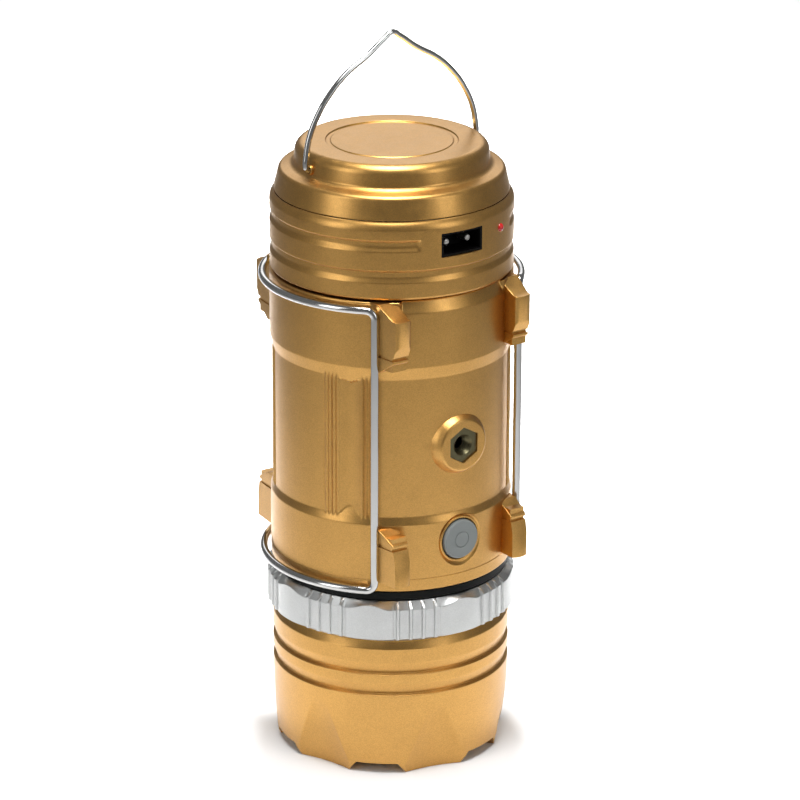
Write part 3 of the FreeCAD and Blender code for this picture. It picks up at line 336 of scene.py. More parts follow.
def add_rows(bm, low, high, gap):
    """Divides the outline's edges that lie between two heights."""
    for edge in [e for e in bm.edges if all(low - 0.01 <= v.co.z <= high + 0.01 for v in e.verts)]:
        cuts = int(abs(edge.verts[0].co.z - edge.verts[1].co.z) / gap)
        if cuts > 0:
            bmesh.ops.subdivide_edges(bm, edges=[edge], cuts=cuts)


def turn_outline(bm, steps):
    """Turns the outline an eighth round Z, copies that round, and closes the seams and poles."""
    bmesh.ops.spin(bm, geom=bm.verts[:] + bm.edges[:], cent=(0, 0, 0), axis=(0, 0, 1),
                   angle=math.tau / 8, steps=steps // 8)
    for part in (8, 4, 2):
        made = bmesh.ops.duplicate(bm, geom=bm.verts[:] + bm.edges[:] + bm.faces[:])["geom"]
        bmesh.ops.rotate(bm, cent=(0, 0, 0), matrix=Matrix.Rotation(math.tau / part, 3, "Z"),
                         verts=[v for v in made if isinstance(v, bmesh.types.BMVert)])
    bmesh.ops.remove_doubles(bm, verts=bm.verts[:], dist=SEAM)
    bmesh.ops.recalc_face_normals(bm, faces=bm.faces[:])


def turned(points, steps, rows=(), closed=True):
    """A turned solid whose outline is given as (radius, height[, corner])."""
    bm = bmesh.new()
    outline(bm, points, closed)
    for low, high, gap in rows:
        add_rows(bm, low, high, gap)
    turn_outline(bm, steps)
    return bm


def reshape(bm, rule):
    """Moves each point by a rule of its radius, bearing and height. Bearing 0 is the front, -Y."""
    for vert in bm.verts:
        radius = math.hypot(vert.co.x, vert.co.y)
        if radius < 1:
            continue
        bearing = math.degrees(math.atan2(vert.co.x, -vert.co.y))
        far, height = rule(radius, bearing, vert.co.z)
        vert.co = (vert.co.x * far / radius, vert.co.y * far / radius, height)


def away(bearing, centre):
    """The angle from centre to bearing, -180 to 180."""
    return (bearing - centre + 180) % 360 - 180


def near(value, edge, soft):
    """1 below the edge, 0 above it, and a straight run soft wide in between. Below 0, soft turns it round."""
    return min(max((edge - value) / soft + 0.5, 0), 1)


def facing_front(bm):
    """Turns a shape that was made along +Z to point to the front, -Y."""
    bmesh.ops.rotate(bm, cent=(0, 0, 0), verts=bm.verts[:], matrix=Matrix.Rotation(math.pi / 2, 3, "X"))


def moved(bm, x=0, y=0, z=0):
    bmesh.ops.translate(bm, vec=(x, y, z), verts=bm.verts[:])
    return bm


def added(bm, other):
    """Puts a copy of another shape into bm."""
    spare = bpy.data.meshes.new("spare")
    other.to_mesh(spare)
    other.free()
    bm.from_mesh(spare)
    bpy.data.meshes.remove(spare)
    return bm


def prism(points, length_y, corner=0.0):
    """A prism along Y, centred on it, whose section in XZ is given."""
    bm = bmesh.new()
    verts = [bm.verts.new((x, -length_y / 2, z)) for x, z in points]
    face = bm.faces.new(verts)
    moved_part = bmesh.ops.extrude_face_region(bm, geom=[face])["geom"]
    bmesh.ops.translate(bm, vec=(0, length_y, 0),
                        verts=[v for v in moved_part if isinstance(v, bmesh.types.BMVert)])
    if corner:
        along = [e for e in bm.edges if abs(e.verts[0].co.y - e.verts[1].co.y) > length_y / 2]
        bmesh.ops.bevel(bm, geom=along, offset=corner, offset_type="OFFSET", segments=5,
                        profile=0.5, affect="EDGES", material=-1)
    bmesh.ops.recalc_face_normals(bm, faces=bm.faces[:])
    return bm


def hexagon(bm, flats, height, per_side):
    """A hexagon's edge loop with a point to the right, each side divided."""
    made = bmesh.ops.create_circle(bm, segments=6, radius=flats / math.sqrt(3),
                                   matrix=Matrix.Translation((0, 0, height)))
    edges = list({e for v in made["verts"] for e in v.link_edges})
    cut = bmesh.ops.subdivide_edges(bm, edges=edges, cuts=per_side - 1)
    return list({e for e in cut["geom"] if isinstance(e, bmesh.types.BMEdge)} |
                {e for e in edges if e.is_valid})


def open_loop(bm, height, radius=None):
    """The open edges at a height."""
    return [e for e in bm.edges if e.is_boundary
            and all(abs(v.co.z - height) < 1e-3 for v in e.verts)
            and (radius is None or all(abs(math.hypot(v.co.x, v.co.y) - radius) < 0.02 for v in e.verts))]


def soften(bm, angle_deg, offset, segments=2):
    """Breaks the edges that are sharper than an angle."""
    sharp = [e for e in bm.edges if len(e.link_faces) == 2 and e.calc_face_angle() > math.radians(angle_deg)]
    bmesh.ops.bevel(bm, geom=sharp, offset=offset, offset_type="OFFSET", segments=segments, profile=0.5,
                    affect="EDGES", material=-1, clamp_overlap=True)
    return bm


def as_object(bm, name):
    mesh = bpy.data.meshes.new(name)
    bm.to_mesh(mesh)
    bm.free()
    thing = bpy.data.objects.new(name, mesh)
    bpy.context.collection.objects.link(thing)
    return thing


def carved(bm, cutters):
    """The shape with the cutters taken out of it."""
    whole = bm.calc_volume()
    body = as_object(bm, "carving")
    tools = [as_object(cutter, "cutter") for cutter in cutters]
    for tool in tools:
        cut = body.modifiers.new("Cut", "BOOLEAN")
        cut.operation, cut.solver, cut.object = "DIFFERENCE", "MANIFOLD", tool
    bpy.context.view_layer.update()
    ready = bpy.data.meshes.new_from_object(body.evaluated_get(bpy.context.evaluated_depsgraph_get()))
    answer = bmesh.new()
    answer.from_mesh(ready)
    if not 0.5 * whole < answer.calc_volume() < whole:
        raise RuntimeError("the cutters took nothing out")
    for thing in [body] + tools:
        bpy.data.objects.remove(thing)
    bpy.data.meshes.remove(ready)
    return answer


def piece(name, bm, slot, body, *nodes, sharp=32):
    """Finishes a shape as a piece in metres that rides on a body and stands for CAD nodes."""
    bmesh.ops.scale(bm, vec=(MM, MM, MM), verts=bm.verts[:])
    for face in bm.faces:
        face.smooth = True
    for edge in bm.edges:
        edge.smooth = not (len(edge.link_faces) == 2 and edge.calc_face_angle() > math.radians(sharp))
    thing = as_object(bm, name)
    thing.data.materials.append(finish_of(slot))
    even = thing.modifiers.new("Even shading", "WEIGHTED_NORMAL")
    even.keep_sharp = True
    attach(thing, body)
    if nodes:
        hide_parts(*nodes)
    return thing


# The casing


def grip(bearing, waist):
    """Radius of the waist where the finger grips are, and how far into a scallop the place lies."""
    half, ridges, sunk = 5.3, 4, 0.15
    pitch = math.degrees(sizes().ridge_pitch)
    off = abs(away(abs(bearing), 55 if abs(bearing) < 90 else 125))
    if off < half:
        return waist - sizes().scallop_depth / MM * (1 - (off / half) ** 2), 1 - off / half
    if off < half + ridges * pitch:
        wave = math.sin(math.pi * (off - half) / pitch) ** 2
        return waist - sunk + sizes().ridge_height / MM * wave, 0
    return waist, 0


def lug(way, slot, tall, nail_y, nail_top, step_y, step_h, foot_y, foot_h):
    """A lug: an upper block with a slanted facet, a lower block with a second one, and a core behind both.

    Heights run from the slot: way is 1 where the lug stands above it and -1 where it hangs.
    """
    reach, back, half, aside = 43.3, 28.0, 3.0, 24.7
    saddle_y, shell, lean_deg = 34, 40.5, 7.5

    def block(low, high, far):
        bm = bmesh.new()
        bmesh.ops.create_cube(bm, size=1)
        bmesh.ops.scale(bm, vec=(2 * half, far - back, high - low), verts=bm.verts[:])
        moved(bm, 0, (far + back) / 2, (low + high) / 2)
        across = [e for e in bm.edges if abs(e.verts[0].co.x - e.verts[1].co.x) > half]
        bmesh.ops.subdivide_edges(bm, edges=across, cuts=9, use_grid_fill=True)
        deep = [e for e in bm.edges if abs(e.verts[0].co.y - e.verts[1].co.y) > half]
        bmesh.ops.subdivide_edges(bm, edges=deep, cuts=7, use_grid_fill=True)
        return bm

    def slice_off(bm, point, normal):
        cut = bmesh.ops.bisect_plane(bm, geom=bm.verts[:] + bm.edges[:] + bm.faces[:], dist=1e-5,
                                     plane_co=point, plane_no=normal, clear_outer=True)
        rim = [e for e in cut["geom_cut"] if isinstance(e, bmesh.types.BMEdge)]
        bmesh.ops.edgeloop_fill(bm, edges=rim)

    upper = block(0.5, tall, reach)
    for vert in upper.verts:
        x, y, h = vert.co
        fall = 0.9 * (abs(x) / half) ** 2.4 * near(y, reach - 2.6, -4)
        if h > tall - 0.1 and way > 0:
            out = max(y - saddle_y, 0) / (reach - saddle_y)
            h = tall - 5.0 * out ** 0.8 + 0.8 * max(0, (y - 40.3) / 3) ** 2
        vert.co = (x, y - fall, h)
    slice_off(upper, (0, nail_y, 0.5), (0, nail_top - 0.5, nail_y - reach))
    lower = block(foot_h, step_h, step_y)
    slice_off(lower, (0, step_y, step_h - 0.9), (0, step_h - 0.9 - foot_h, foot_y - step_y))
    core = block(foot_h + 1.5, tall - 5, min(nail_y, step_y) - 0.9)
    bmesh.ops.scale(core, vec=(0.9, 1, 1), verts=core.verts[:])
    for part in (upper, lower):
        soften(part, 35, 0.22)
    bm = added(added(upper, lower), core)
    for vert in bm.verts:
        x, y, h = vert.co
        lean = math.tan(math.radians(lean_deg)) * (reach - y) if x > 0 else 0
        x = aside + x + lean * min(x / half, 1)
        deep = max(shell / math.hypot(x, y), 1)
        vert.co = (x * deep, -y * deep, slot + way * h)
    bmesh.ops.recalc_face_normals(bm, faces=bm.faces[:])
    return bm


def boss(low_y, high_y):
    """The cone that carries the tripod nut, with a six-sided pocket."""
    face, hex_depth = high_y - low_y, 3.5
    bm = bmesh.new()
    outline(bm, [(11.6, 0), (10.5, 2.6, 0.7), (9.1, face, 0.55), (7.6, face)], closed=False)
    turn_outline(bm, 96)
    loop = hexagon(bm, 11.3, face, 16)
    bmesh.ops.bridge_loops(bm, edges=open_loop(bm, face, 7.6) + loop)
    rim = [e for e in bm.edges if e.is_boundary and all(abs(v.co.z - face) < 1e-3 for v in e.verts)]
    walls = bmesh.ops.extrude_edge_only(bm, edges=rim)["geom"]
    bmesh.ops.translate(bm, vec=(0, 0, -hex_depth),
                        verts=[v for v in walls if isinstance(v, bmesh.types.BMVert)])
    bmesh.ops.recalc_face_normals(bm, faces=bm.faces[:])
    facing_front(bm)
    return moved(bm, 0, -low_y, 0)


def make_casing():
    low, high = (corner.z for corner in box_mm("casing"))
    waist, full = sizes().waist_radius / MM, sizes().casing_radius / MM
    bore, foot, head = 39.5, 93.4, 149.9
    points = [
        (full - 0.8, low), (full, low + 0.5, 0.3), (full, low + 4.45), (full - 0.13, low + 4.6),
        (full, low + 4.75), (full, foot, 0.35), (waist, 95.9, 0.35),
        (waist, 101.2), (waist, 139.4), (waist, 145.6, 0.25),
        (full, head, 0.35), (full, 168.9), (full, high - 0.15, 0.5), (full - 1.0, high),
        (bore, high), (bore, low + 2), (20, low + 2), (20, low)]
    bm = turned(points, 960, [(92.8, 101.3, 0.55), (139.3, 150.4, 0.5), (168.8, high, 0.9)])

    def rule(radius, bearing, z):
        if waist - 0.2 < radius <= full + 0.01 and 91 < z < 151.5:
            lower = full - (z - foot) * (full - waist) / 2.5
            upper = full - (head - z) * (full - waist) / 4.3
            plain = max(lower, upper, waist)
            worn, deep = grip(bearing, waist)
            if z < 145.4 - 1.65 * deep:
                upper = worn
            with_grip = max(min(lower, full), min(upper, full), worn)
            radius += min(with_grip, full) - min(plain, full)
        if radius > 40 and z > 168.8:
            sideways = abs(radius * math.sin(math.radians(bearing)))
            slope = 2.0 * (z - 169.0) / (high - 169.0) * near(sideways, 21.3, 0.8)
            radius -= max(slope, 0) * (radius - bore) / (full - bore)
        return radius, z

    reshape(bm, rule)
    nut_low, nut_high = box_mm("tripod_nut")
    nut_z = (nut_low.z + nut_high.z) / 2
    button_low, button_high = box_mm("button")
    button_z = (button_low.z + button_high.z) / 2
    well, bolt = 7.35, 5.2
    hole = turned([(0, 45), (bolt, 45), (bolt, 38), (0, 38)], 48)
    dish_cut = turned([(0, 45), (9.9, 45), (9.9, 42.3), (8.7, 41.0, 0.5),
                       (well, 40.7), (well, 37.0), (0, 37.0)], 128)
    for cutter, z in ((dish_cut, button_z), (hole, nut_z)):
        facing_front(cutter)
        moved(cutter, 0, 0, z)
    bm = carved(bm, [dish_cut, hole])
    lip = turned([(8.35, 40.3), (8.2, 41.45, 0.3), (7.4, 41.45, 0.3), (well, 40.3)], 128)
    facing_front(lip)
    added(bm, moved(lip, 0, 0, button_z))
    for right in (1, -1):
        for back in (1, -1):
            for made in (lug(1, 155.7, 17.6, 41.2, 5.0, 41.4, -0.6, 34.2, -6.2),
                         lug(-1, 87.2, 13.4, 41.4, 8.3, 41.4, -0.7, 34.5, -5.3)):
                bmesh.ops.scale(made, vec=(right, back, 1), verts=made.verts[:])
                bmesh.ops.recalc_face_normals(made, faces=made.faces[:])
                added(bm, made)
    added(bm, moved(boss(38.6, 43.3), 0, 0, nut_z))
    piece("casing", bm, "gold_paint", "root", "casing")


# The rising part's outside


def make_ring_housing():
    high = box_mm("ring_housing")[1].z
    low = high - 27.2
    full, bore, inside, floor = 41.9, 34.0, 39.6, 2.2
    band = full - sizes().band_depth / MM
    points = [
        (bore, low), (full - 0.6, low), (full, low + 0.6, 0.4),
        (full, low + 6.0, 0.3), (band, low + 7.6, 0.5), (band, low + 9.7), (full, low + 10.4, 0.15),
        (full, low + 16.9, 0.3), (band, low + 18.4, 0.5), (band, low + 20.2), (full, low + 20.9, 0.15),
        (full, high - 1.9, 1.4), (full - 1.5, high - 0.1, 0.5), (40.55, high), (40.3, high - 0.6),
        (inside, high - 0.6), (inside, low + floor), (bore, low + floor)]
    bm = turned(points, 720, [(low + 16.5, low + 21.2, 0.5)])
    plain_bearing, plain_half = 8.2, 30.2  # the upper band stops here, round the inlet

    def rule(radius, bearing, z):
        if radius > band - 0.1 and low + 16.4 < z < low + 21.3:
            plain = near(abs(away(bearing, plain_bearing)), plain_half, 1.6)
            radius += max(full - radius, 0) * plain
        return radius, z

    reshape(bm, rule)
    wide, tall, middle = 8.35, 4.2, low + 18.2
    window = prism([(-wide, -tall), (wide, -tall), (wide, tall), (-wide, tall)], 8, 0.35)
    bm = carved(bm, [moved(window, 0, -42, middle)])
    piece("ring_housing", bm, "gold_paint", "rising_part", "ring_housing")


def make_top_cap():
    high = box_mm("top_cap")[1].z
    seam = high - 16.8
    disc, groove, inside = 32.9, 22.6, 31.5
    points = [
        (0, high - 2.2), (inside, high - 2.2), (inside, seam + 6.5),
        (37.6, seam + 0.2), (40.3, seam + 0.2), (40.35, seam + 0.5),
        (38.7, seam + 7.7, 1.1), (34.6, seam + 8.7, 0.7), (33.6, seam + 9.5, 0.5), (disc, high, 3.1),
        (groove + 0.1, high, 0.12), (groove - 0.15, high - 0.45, 0.12), (groove - 1.5, high - 0.45, 0.15),
        (groove - 1.8, high - 0.15, 0.15), (0, high - 0.15)]
    bm = turned(points, 480)
    for side in (1, -1):
        socket = turned([(1.75, 0), (1.75, 1.3, 0.25), (1.15, 1.3, 0.2), (1.15, 0)], 32)
        bmesh.ops.rotate(socket, cent=(0, 0, 0), verts=socket.verts[:],
                         matrix=Matrix.Rotation(side * math.pi / 2, 3, "Y"))
        added(bm, moved(socket, side * disc, 0, seam + 11.5))
    piece("top_cap", bm, "gold_paint", "rising_part", "top_cap")


# The torch end


def make_torch_head():
    top = box_mm("torch_head")[1].z
    full, valley, bore, bezel = 41.5, 40.3, 36.4, 35.2
    points = [
        (bezel, 0), (valley, 0, 0.25), (full, 29.9, 0.25),
        (valley, 30.35, 0.2), (41.45, 34.1, 0.5), (full, 37.7, 0.25),
        (valley, 38.15, 0.2), (41.45, 41.9, 0.5), (full, top - 2.8, 0.3),
        (39.6, top, 0.2), (bore, top), (bore, 30.1), (bezel, 26.1)]
    bm = turned(points, 1080, [(-0.1, 29.7, 1.0)])
    gap_half, slant, gap_tall, roof = 10.5, 4.2, 3.6, 9.0
    first, pitch, flute_top = -11.6, 60, 27

    def rule(radius, bearing, z):
        tooth = away(bearing, first) % pitch
        tooth = min(tooth, pitch - tooth)
        if radius > bore + 0.1 and z < flute_top:
            half = 15.6 * (1 - z / flute_top) + 2.4
            bite = 3.3 * (1 - z / 24.5)
            if tooth < half and bite > 0:
                radius -= bite * (1 - (tooth / half) ** 2)
        if z < roof:
            from_gap = pitch / 2 - tooth
            height = gap_tall * near(from_gap, gap_half + slant / 2, slant)
            z = height + z * (roof - height) / roof
        return radius, z

    reshape(bm, rule)
    piece("torch_head", bm, "gold_paint", "root", "torch_head")


def make_focus_ring():
    low, high = (corner.z for corner in box_mm("focus_ring"))
    bore, full, shoulder = 38.9, 43, 40.8
    points = [(bore, low), (41.0, low), (full, low + 1.2), (full, high - 4.6), (full, high - 0.3),
              (shoulder, high - 0.15), (40.2, high), (bore, high)]
    bm = turned(points, 1440, [(low + 1.2, high - 4.6, 3.0), (high - 4.65, high - 0.2, 0.22)])
    top = high - 0.15
    pitch, lobe_half = 45, 11.5

    def rule(radius, bearing, z):
        if radius < shoulder - 0.05 or z < low + 1.1:
            return radius, z
        if z > high - 0.32:
            return shoulder, top
        group = abs(away(bearing % pitch, pitch / 2))
        lobe = pitch / 2 - group
        rib = min(abs(group - 3), abs(group - 9))
        side = 42.7
        edge = high - 2.9
        if lobe < lobe_half:
            side += 0.7 * math.sqrt(1 - (lobe / lobe_half) ** 2)
            edge += 1.9 * math.cos(math.pi * lobe / (2 * lobe_half)) ** 2
        proud = near(rib, 0.8, 0.3)
        side += proud * (sizes().rib_height / MM)
        edge += proud * 0.7
        if z <= edge:
            return side + min(radius - full, 0), z
        return side + (shoulder - side) * (z - edge) / (top - edge), z

    reshape(bm, rule)
    piece("silver_ring", bm, "silver_paint", "turning_ring", "focus_ring", sharp=28)


def make_gasket():
    low, high = (corner.z for corner in box_mm("gasket_ring"))
    far = box_mm("gasket_ring")[1].y
    bm = turned([(38.1, low), (far, low, 0.6), (far, high, 0.5), (38.1, high)], 360)
    piece("gasket", bm, "black_rubber", "root", "gasket_ring")


# The wires


def wire(start, heading, radius, moves):
    """Round wire that starts at a point and follows straight runs and turns."""
    bm = bmesh.new()
    turn = heading.to_track_quat("Z", "Y").to_matrix().to_4x4()
    made = bmesh.ops.create_circle(bm, segments=24, radius=radius,
                                   matrix=Matrix.Translation(start) @ turn)
    loop = list({e for v in made["verts"] for e in v.link_edges})
    first = loop
    for move in moves:
        if move[0] == "run":
            geom = bmesh.ops.extrude_edge_only(bm, edges=loop)["geom"]
            loop = [e for e in geom if isinstance(e, bmesh.types.BMEdge)
                    and all(v in geom for v in e.verts) and len(e.link_faces) == 1]
            bmesh.ops.translate(bm, vec=move[1],
                                verts=[v for v in geom if isinstance(v, bmesh.types.BMVert)])
        else:
            centre, axis, degrees, steps = move[1:]
            last = bmesh.ops.spin(bm, geom=loop, cent=centre, axis=axis,
                                  angle=math.radians(degrees), steps=steps)
            loop = [e for e in last["geom_last"] if isinstance(e, bmesh.types.BMEdge)]
    for end in (first, loop):
        bmesh.ops.edgeloop_fill(bm, edges=[e for e in end if e.is_valid])
    bmesh.ops.recalc_face_normals(bm, faces=bm.faces[:])
    return bm


def make_side_frames():
    low, high = box_mm("right_frame")
    radius = sizes().wire_radius / MM
    top, bottom = high.z - radius, low.z + radius
    ring, first, last, corner, small, pintle = 44.5, 45.9, 145.0, 3.0, 2.0, 11.0

    def spot(bearing, z):
        a = math.radians(bearing)
        return Vector((ring * math.sin(a), -ring * math.cos(a), z))

    def along(bearing):
        a = math.radians(bearing)
        return Vector((math.cos(a), math.sin(a), 0))

    up = Vector((0, 0, 1))
    rear = spot(last, top)
    pin = rear + along(last) * small
    moves = [
        ("run", up * (pintle - small)),
        ("turn", rear - up * small, up.cross(-along(last)), 90, 8),
        ("turn", Vector((0, 0, 0)), up, first - last, 96),
        ("turn", spot(first, top - corner), up.cross(-along(first)), 90, 12),
        ("run", -up * (top - bottom - 2 * corner)),
        ("turn", spot(first, bottom + corner), up.cross(-along(first)), 90, 12),
        ("turn", Vector((0, 0, 0)), up, last - first, 96),
        ("turn", spot(last, bottom) + up * small, up.cross(-along(last)), 90, 8),
        ("run", up * (pintle - small)),
    ]
    start = Vector((pin.x, pin.y, top - pintle))
    for side, name, body in ((1, "right_frame", "right_gate"), (-1, "left_frame", "left_gate")):
        bm = wire(start, up, radius, moves)
        bmesh.ops.scale(bm, vec=(side, 1, 1), verts=bm.verts[:])
        bmesh.ops.recalc_face_normals(bm, faces=bm.faces[:])
        piece(name.replace("_frame", "_side_frame"), bm, "bright_wire", body, name, sharp=60)


def make_bail():
    low, high = box_mm("bail")
    radius = sizes().bail_radius / MM
    span, top = high.x - radius, high.z - radius
    pivot = low.z + radius
    rise = top - pivot
    # the arm's bow, as shares of the span and the rise
    arm = [(0.995, 0.1), (0.955, 0.264), (0.864, 0.425), (0.722, 0.584), (0.527, 0.729),
           (0.266, 0.855), (0.085, 0.962)]
    half = [(30.2, 0), (span - 2.2, 0), (span - 0.45, 0.45), (span, 2.2)]
    half += [(x * span, z * rise) for x, z in arm]
    path = half + [(0, rise)] + [(-x, z) for x, z in reversed(half)]
    curve = bpy.data.curves.new("bail line", "CURVE")
    curve.dimensions = "3D"
    curve.resolution_u = 10
    curve.bevel_depth, curve.bevel_resolution, curve.use_fill_caps = radius, 5, True
    spline = curve.splines.new("BEZIER")
    spline.bezier_points.add(len(path) - 1)
    for point, (x, z) in zip(spline.bezier_points, path):
        point.co = (x, 0, z)
        point.handle_left_type = point.handle_right_type = "AUTO"
    line = bpy.data.objects.new("bail line", curve)
    bpy.context.collection.objects.link(line)
    bpy.context.view_layer.update()
    mesh = bpy.data.meshes.new_from_object(line.evaluated_get(bpy.context.evaluated_depsgraph_get()))
    bpy.data.objects.remove(line)
    bm = bmesh.new()
    bm.from_mesh(mesh)
    bmesh.ops.remove_doubles(bm, verts=bm.verts[:], dist=1e-4)
    bmesh.ops.recalc_face_normals(bm, faces=bm.faces[:])
    piece("bail", moved(bm, 0, 0, pivot), "bright_wire", "bail_wire", "bail", sharp=60)


# Small fittings


def make_button():
    low, high = box_mm("button")
    z = (low.z + high.z) / 2
    face, back = -low.y, -high.y
    rim, flange, stem = 6.95, 7.8, 1.75
    points = [(0, face), (2.55, face), (2.65, face - 0.16), (2.85, face - 0.16), (2.95, face),
              (rim, face - 0.1, 0.7), (rim, 38.1), (flange, 38.1), (flange, 36.9), (stem, 36.9),
              (stem, back), (0, back)]
    bm = turned(points, 128)
    facing_front(bm)
    piece("button_cap", moved(bm, 0, 0, z), "grey_silicone", "push_button", "button")


def make_tripod_nut():
    low, high = box_mm("tripod_nut")
    z = (low.z + high.z) / 2
    front, back = -low.y, -high.y
    flats = high.z - low.z
    steps, pitch = 96, sizes().thread_pitch / MM
    bm = bmesh.new()
    outline(bm, [(4.0, front), (3.75, front), (2.8, front - 0.9), (2.8, back + 0.2), (3.1, back)],
            closed=False)
    add_rows(bm, back + 0.2, front - 0.9, 0.16)
    turn_outline(bm, steps)

    def rule(radius, bearing, height):
        if radius < 2.85 and back + 0.2 < height < front - 0.5:
            wave = abs(((height / pitch + bearing / 360) % 1) - 0.5) * 2
            radius = 2.58 + 0.62 * wave
        return radius, height

    reshape(bm, rule)
    for height, radius in ((front, 4.0), (back, 3.1)):
        sides = hexagon(bm, flats, height, steps // 6)
        bmesh.ops.bridge_loops(bm, edges=open_loop(bm, height, radius) + sides)
    outer = [e for e in bm.edges if e.is_boundary]
    bmesh.ops.bridge_loops(bm, edges=outer)
    bmesh.ops.recalc_face_normals(bm, faces=bm.faces[:])
    facing_front(bm)
    piece("tripod_nut_threaded", moved(bm, 0, 0, z), "nut_metal", "root", "tripod_nut", sharp=25)


def make_inlet_pins():
    low, high = box_mm("inlet_pins")
    z, radius = (low.z + high.z) / 2, (high.z - low.z) / 2
    front, back = -low.y, -high.y
    bm = bmesh.new()
    for x in (low.x + radius, high.x - radius):
        pin = turned([(0, front), (radius, front, radius * 0.55), (radius, back), (0, back)], 48)
        facing_front(pin)
        added(bm, moved(pin, x, 0, z))
    piece("mains_pins", bm, "contact_metal", "rising_part", "inlet_pins")


def make_charge_lamp():
    low, high = box_mm("charge_lamp")
    z = (low.z + high.z) / 2
    bearing = math.radians(26)
    bm = turned([(0, 43.0), (1.5, 43.0, 1.4), (1.5, 40.5), (1.85, 40.5), (1.85, 39.4), (0, 39.4)], 48)
    facing_front(bm)
    bmesh.ops.rotate(bm, cent=(0, 0, 0), verts=bm.verts[:], matrix=Matrix.Rotation(bearing, 3, "Z"))
    piece("charge_lamp_dome", moved(bm, 0, 0, z), "led_red", "rising_part", "charge_lamp")


INNER = {
    "guide_ring": "black_plastic", "push_switch": "black_plastic", "switch_board": "circuit_board",
    "chassis": "black_plastic", "base_screws": "screw_steel", "battery_cell": "cell_wrap",
    "battery_tabs": "contact_metal", "battery_cradles": "black_plastic", "torch_driver": "circuit_board",
    "torch_core": "black_plastic", "heat_sink": "aluminium_sink", "torch_board": "circuit_board",
    "torch_led": "led_yellow", "cap_screws": "screw_steel", "inlet_body": "black_plastic",
    "charge_board": "circuit_board", "capacitor": "capacitor_sleeve", "diffuser": "frosted_plastic",
    "slider_ring": "white_plastic", "lamp_column": "white_plastic", "lamp_chips": "led_yellow",
    "lamp_reflector": "mirror_plastic", "lens_carrier": "black_plastic", "lens": "clear_lens",
    "lens_retainer": "black_plastic",
}


def finish_inner_parts():
    """Gives the CAD nodes that stay their finishes."""
    for name, slot in INNER.items():
        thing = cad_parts[name]
        if not thing.material_slots:
            raise RuntimeError("no material slot on " + name)
        for holder in thing.material_slots:
            holder.material = finish_of(slot)


# The studio


def soft_box(name, at, to, width, height, power, spread, turn=0.0):
    """A rectangular light that faces a point; turn is a turn about its own axis."""
    light = bpy.data.lights.new(name, "AREA")
    light.shape, light.size, light.size_y, light.energy = "RECTANGLE", width, height, power
    light.spread = math.radians(spread)
    lamp = bpy.data.objects.new(name, light)
    lamp.location = at
    aim = (Vector(to) - Vector(at)).to_track_quat("-Z", "Y")
    lamp.rotation_euler = (aim @ Quaternion((0, 0, 1), turn)).to_euler()
    bpy.context.collection.objects.link(lamp)


def make_stage():
    scene = bpy.context.scene
    floor_finish = Finish("Studio floor")
    mottle = floor_finish.noise(40.0, 3.0)
    floor_finish.surface(
        Base_Color=floor_finish.blend(mottle, darker(colours().floor, 0.985), colours().floor),
        Roughness=0.9)
    bm = bmesh.new()
    bmesh.ops.create_grid(bm, x_segments=8, y_segments=8, size=6)
    floor = as_object(bm, "studio_floor")
    floor.data.materials.append(floor_finish.material)

    scene.view_settings.view_transform = "Standard"
    world = bpy.data.worlds.new("Soft studio")
    scene.world = world
    world.use_nodes = True
    sky = world.node_tree.nodes["Background"]
    sky.inputs["Color"].default_value = (1, 1, 1, 1)
    sky.inputs["Strength"].default_value = 0.18

    elevation, azimuth, roll = math.radians(19.88), math.radians(-35), math.radians(0.206)
    back = Vector((math.sin(azimuth) * math.cos(elevation), -math.cos(azimuth) * math.cos(elevation),
                   math.sin(elevation)))
    right = Vector((math.cos(azimuth), math.sin(azimuth), 0))
    over = back.cross(right)
    turn = Matrix((right * math.cos(roll) + over * math.sin(roll),
                   over * math.cos(roll) - right * math.sin(roll), back)).transposed()
    lens = bpy.data.cameras.new("Camera")
    lens.lens, lens.sensor_width, lens.clip_start = 192.0, 36.0, 0.05
    camera = bpy.data.objects.new("Camera", lens)
    aim_height, distance, aside = 0.1238, 1.4815, 0.00304
    place = Vector((0, 0, aim_height)) + back * distance + right * aside
    camera.matrix_world = Matrix.Translation(place) @ turn.to_4x4()
    bpy.context.collection.objects.link(camera)
    scene.camera = camera

    front = Vector((back.x, back.y, 0)).normalized()
    middle = (0, 0, 0.13)
    soft_box("Left softbox", front * 0.6 - right * 0.8 + Vector((0, 0, 0.5)), middle,
             width=0.35, height=0.9, power=0.55, spread=80)
    soft_box("Right softbox", front * 0.6 + right * 0.8 + Vector((0, 0, 0.5)), middle,
             width=0.3, height=0.8, power=0.4, spread=80)
    soft_box("Overhead softbox", Vector((0, 0, 0.95)) + front * 0.2, front * 0.1,
             width=0.45, height=0.45, power=1.25, spread=60)
    soft_box("Back softbox", Vector((0, 0, 0.85)) - front * 1.4, middle,
             width=1.2, height=0.5, power=0.85, spread=100)
    soft_box("Backdrop light", Vector((0, 0, 1.2)) - front * 0.62, -front * 0.62,
             width=0.12, height=0.95, power=4.2, spread=34, turn=azimuth)


# The add-on's operators and panel


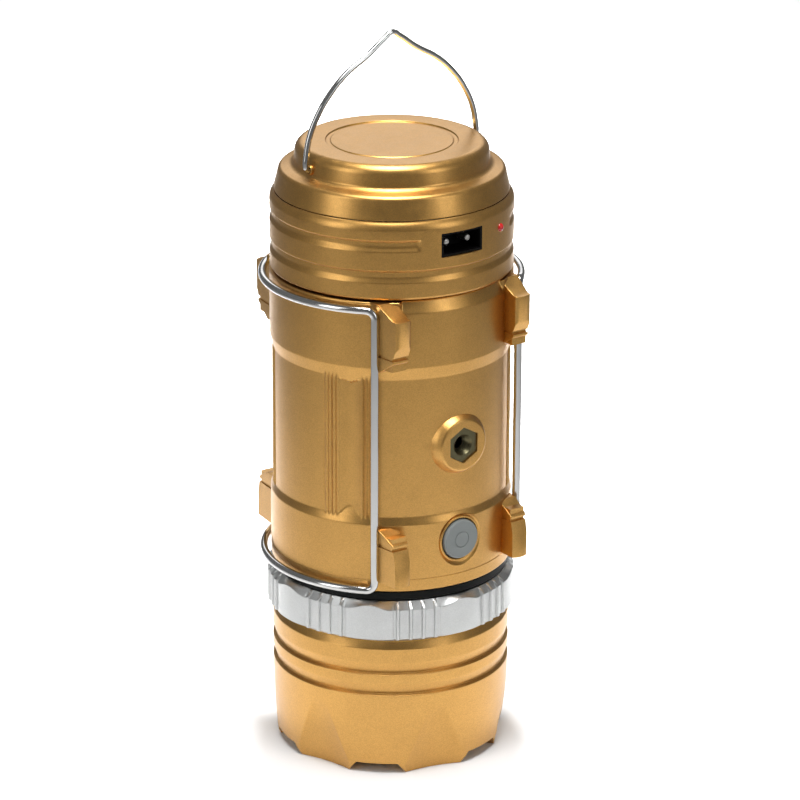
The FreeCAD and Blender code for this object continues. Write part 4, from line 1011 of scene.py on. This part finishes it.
def operator(key, label, words, make):
    """An operator class that makes one piece or one group of like pieces."""

    def execute(self, context):
        make()
        return {"FINISHED"}

    return type("LANTERN_OT_" + key, (bpy.types.Operator,), {
        "__doc__": words, "bl_idname": "lantern." + key, "bl_label": label, "execute": execute})


class LANTERN_PT_panel(bpy.types.Panel):
    """Lists the steps that build the lantern"""
    bl_label = "Lantern"
    bl_idname = "LANTERN_PT_panel"
    bl_space_type = "VIEW_3D"
    bl_region_type = "UI"
    bl_category = "Lantern"

    def draw(self, context):
        for step in STEPS:
            self.layout.operator(step.bl_idname)


STEPS = [
    operator("casing", "Casing", "Makes the gold casing with its lugs, grips, boss and button dish", make_casing),
    operator("ring_housing", "Ring housing", "Makes the banded housing round the inlet", make_ring_housing),
    operator("top_cap", "Top cap", "Makes the stepped cap", make_top_cap),
    operator("torch_head", "Torch head", "Makes the torch head and its toothed bezel", make_torch_head),
    operator("focus_ring", "Focusing ring", "Makes the silver ribbed ring", make_focus_ring),
    operator("gasket", "Gasket", "Makes the black ring under the casing", make_gasket),
    operator("side_frames", "Side frames", "Makes both wire side frames", make_side_frames),
    operator("bail", "Bail", "Makes the wire bail", make_bail),
    operator("button", "Button", "Makes the silicone button", make_button),
    operator("tripod_nut", "Tripod nut", "Makes the threaded nut", make_tripod_nut),
    operator("inlet_pins", "Mains pins", "Makes the two pins in the inlet", make_inlet_pins),
    operator("charge_lamp", "Charge lamp", "Makes the red dome lamp", make_charge_lamp),
    operator("inner_parts", "Inner parts", "Gives the inner parts their finishes", finish_inner_parts),
    operator("stage", "Studio", "Makes the floor, the light and the camera", make_stage),
]
CLASSES = [LanternSizes, LanternColours, *STEPS, LANTERN_PT_panel]


def register():
    for item in CLASSES:
        bpy.utils.register_class(item)
    bpy.types.Scene.lantern_sizes = bpy.props.PointerProperty(type=LanternSizes)
    bpy.types.Scene.lantern_colours = bpy.props.PointerProperty(type=LanternColours)


def unregister():
    del bpy.types.Scene.lantern_colours
    del bpy.types.Scene.lantern_sizes
    for item in reversed(CLASSES):
        bpy.utils.unregister_class(item)


def main():
    register()
    for step in STEPS:
        group, key = step.bl_idname.split(".")
        getattr(getattr(bpy.ops, group), key)()


if __name__ == "__main__":
    main()
